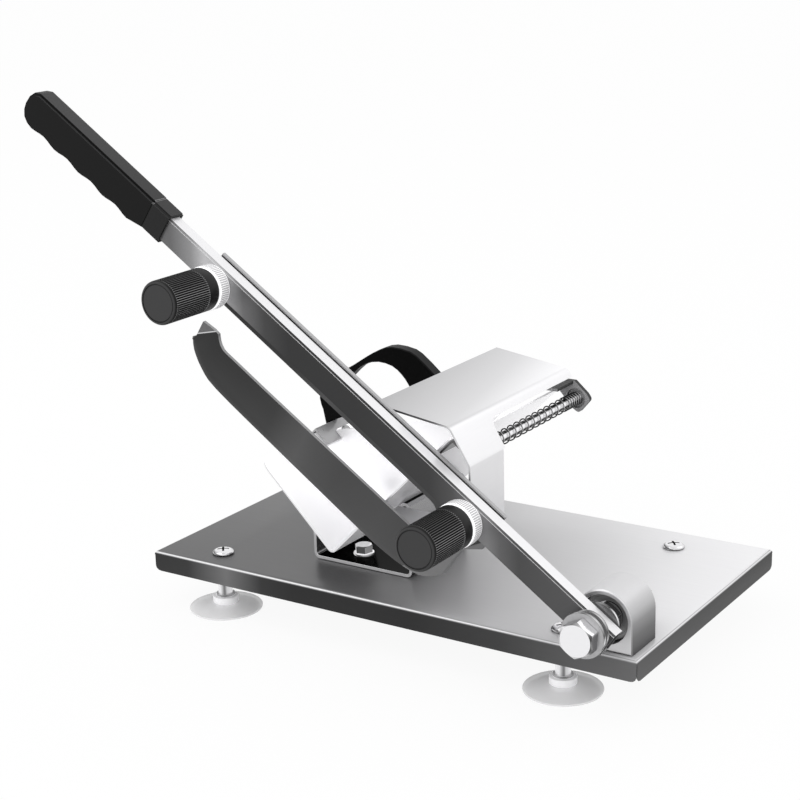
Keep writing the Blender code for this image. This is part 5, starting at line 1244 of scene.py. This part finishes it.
@dataclass
class Feed:
    """The rod with its spring, the slide and the pusher."""

    wire: float = 0.0004
    wire_sides: int = 10
    coil: float = 0.0040
    coil_steps: int = 40
    open_coils: int = 11
    tight_coils: int = 6
    tight_pitch: float = 0.0028
    travel: float = 0.055
    sheen: Triple = (0.885, 0, 0.467)

    def build(self, dresser: SolidDresser) -> None:
        """Dress the feed's solids and build its spring."""
        # The rod's, the holder's and the spring wire's tones are painted reflections in dark and bright bands.
        rod = BrightMetal("bright_rod", roughness=0.2, metallic=0.3, specular=0.2, across=self.sheen,
                          face_tone=170, stops=((0.0, 4), (0.86, 5), (0.91, 26), (0.945, 110), (0.97, 238),
                                                (1.0, 254))).material()
        # The pusher's white carries a weak painted glow.
        steel = Finish("satin_feed", tone=254, roughness=0.36, metallic=0.7, glow=0.18, speckle=0.05,
                       grain=(1500, 60, 1500)).material()
        grey_steel = Finish("grey_feed", tone=172, roughness=0.3, metallic=0.4, speckle=0.12,
                            grain=(300, 300, 300)).material()
        holder = BrightMetal("rod_holder", roughness=0.3, metallic=0.4, face_tone=96,
                             stops=((0.0, 24), (0.3, 60), (0.5, 176), (0.7, 214), (0.85, 60),
                                    (1.0, 24))).material()
        # Painted light on the slide's faces towards the operator.
        cast = MouldedPlastic("dark_slide", tone=34, roughness=0.5, metallic=0.1, specular=0.4,
                              speckle=0.16, grain=(1400, 1400, 1400),
                              patches=(Patch(OPERATOR, PLASTIC_LEANS, 160),)).material()
        # Painted light on the handle's faces that look up.
        handle = MouldedPlastic("handle_plastic", tone=4, specular=0.06, grain=(2200, 2200, 2200),
                                patches=(Patch((0.35, 0, 0.94), PLASTIC_LEANS, 40),)).material()
        wire = BrightMetal("spring_wire", roughness=0.3, metallic=0.3, across=self.sheen, face_tone=60,
                           stops=((0.0, 10), (0.5, 24), (0.75, 70), (0.9, 170), (1.0, 220))).material()
        for node, finish in (("rod_nut", rod), ("pusher_plate", steel), ("pusher_arm", steel),
                             ("pusher_saddle", grey_steel), ("rod_holder", holder)):
            dresser.dress(node, finish)
        dresser.dress("guide_rod", rod, 0.0)
        dresser.dress("saddle_screw", grey_steel, 0.0)
        dresser.dress("feed_slide", cast, 0.0003)
        dresser.dress("pusher_handle", handle, 0.0005)
        self._spring(wire)

    def _spring(self, finish: Material) -> None:
        """The return spring as one wire, with close coils at both ends."""
        low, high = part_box("return_spring")
        centre = middle_of("guide_rod")
        front, back = low.y + self.wire, high.y - self.wire
        tight = self.tight_pitch * (1 + self.tight_coils)
        pitch = (back - front - tight) / self.open_coils
        bm = bmesh.new()
        rings = []
        for i in range((1 + self.open_coils + self.tight_coils) * self.coil_steps + 1):
            turn = i / self.coil_steps
            along = front + self.tight_pitch * min(turn, 1.0)
            along += pitch * min(max(turn - 1, 0.0), float(self.open_coils))
            along += self.tight_pitch * max(turn - 1 - self.open_coils, 0.0)
            angle = 2 * math.pi * turn
            out = Vector((math.cos(angle), 0, math.sin(angle)))
            spot = Vector((centre.x, along, centre.z)) + out * self.coil
            rings.append([bm.verts.new(spot + self.wire * (out * math.cos(a) + Vector(BACK) * math.sin(a)))
                          for a in circle(self.wire_sides)])
        for near, far in zip(rings, rings[1:]):
            band(bm, near, far)
        bm.faces.new(rings[0])
        bm.faces.new(rings[-1])
        spring = add_piece("feed_spring", bm, finish, ["return_spring"])
        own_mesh(spring)


@dataclass(frozen=True)
class Lamp:
    """A square soft lamp."""

    name: str
    place: Triple
    size: float
    power: float

    def build(self, aim: Triple) -> None:
        """Hang the lamp and turn it to a point."""
        data = bpy.data.lights.new(self.name, "AREA")
        data.size = self.size
        data.energy = self.power
        lamp = put(self.name, data)
        lamp.location = self.place
        lamp.rotation_euler = (Vector(aim) - Vector(self.place)).to_track_quat("-Z", "Y").to_euler()


@dataclass
class Studio:
    """The floor, the lamps, the world and the photograph's camera."""

    place: Triple = (0.71744, -0.79971, 0.40537)
    azimuth: float = math.radians(33.48)
    elevation: float = math.radians(16.31)
    roll: float = math.radians(1.57)
    lens: float = 80.97
    sensor: float = 36.0
    clip: float = 0.01
    floor_size: float = 60.0
    floor_white: float = 0.9
    floor_roughness: float = 0.9
    floor_glow: float = 0.93
    soft_world: float = 0.92
    aim: Triple = (0, 0, 0.1)
    lamps: tuple[Lamp, ...] = (Lamp("key_lamp", (-0.7, -0.6, 1.5), 1.3, 6.0),
                               Lamp("rear_lamp", (0.9, 0.9, 1.3), 1.2, 1.5),
                               Lamp("front_lamp", (0.6, -1.6, 0.8), 1.4, 3.0))

    def build(self) -> None:
        """Set the whole studio up."""
        self._camera()
        self._world()
        self._floor()
        for lamp in self.lamps:
            lamp.build(self.aim)
        bpy.context.scene.view_settings.view_transform = "Standard"
        log.info("studio set")

    def _camera(self) -> None:
        """The photograph's camera, solved from the tray's edges and placed from the tray's corner."""
        low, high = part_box("base_tray")
        ahead = Vector((-math.sin(self.azimuth) * math.cos(self.elevation),
                        math.cos(self.azimuth) * math.cos(self.elevation), -math.sin(self.elevation)))
        level = Vector((math.cos(self.azimuth), math.sin(self.azimuth), 0))
        up = level.cross(ahead) * math.cos(self.roll) + level * math.sin(self.roll)
        right = ahead.cross(up)
        data = bpy.data.cameras.new("camera")
        data.lens = self.lens
        data.sensor_width = self.sensor
        data.clip_start = self.clip
        camera = put("camera", data)
        place = Vector((low.x, low.y, high.z)) + Vector(self.place)
        camera.matrix_world = Matrix.Translation(place) @ Matrix((right, up, -ahead)).transposed().to_4x4()
        bpy.context.scene.camera = camera

    def _world(self) -> None:
        """White where it is seen, mirrored or looked through, and a plain soft grey otherwise."""
        world = bpy.data.worlds.new("studio")
        bpy.context.scene.world = world
        world.use_nodes = True
        graph = Graph(world.node_tree)
        seen = graph.ray("Camera").larger(graph.ray("Glossy")).larger(graph.ray("Transmission"))
        graph.feed(graph.tree.nodes["Background"],
                   {"Color": (1, 1, 1), "Strength": seen * (1 - self.soft_world) + self.soft_world})

    def _floor(self) -> None:
        """A pale floor that stays white where nothing shades it."""
        graph = MaterialGraph("pale_floor")
        graph.feed(graph.shader, {"Base Color": (self.floor_white,) * 3, "Roughness": self.floor_roughness,
                                  "Specular IOR Level": 0.0})
        seen = graph.ray("Camera").larger(graph.ray("Glossy"))
        shown = graph.node("ShaderNodeMixShader", {}, {
            0: seen * self.floor_glow, 1: Signal(graph, graph.shader.outputs[0]),
            2: graph.node("ShaderNodeEmission")})
        graph.feed(graph.tree.nodes["Material Output"], {"Surface": shown})
        bm = bmesh.new()
        bmesh.ops.create_grid(bm, x_segments=1, y_segments=1, size=self.floor_size / 2)
        floor = put("floor", to_mesh("floor", bm, graph.material))


def main() -> None:
    """Build the studio and every sub-assembly, in order."""
    logging.basicConfig(level=logging.INFO)
    Studio().build()
    dresser = SolidDresser()
    for assembly in (Base(), Pivot(), Lever(), Trough(), Feed()):
        assembly.build(dresser)
        log.info("finished %s", type(assembly).__name__)


if __name__ == "__main__":
    main()
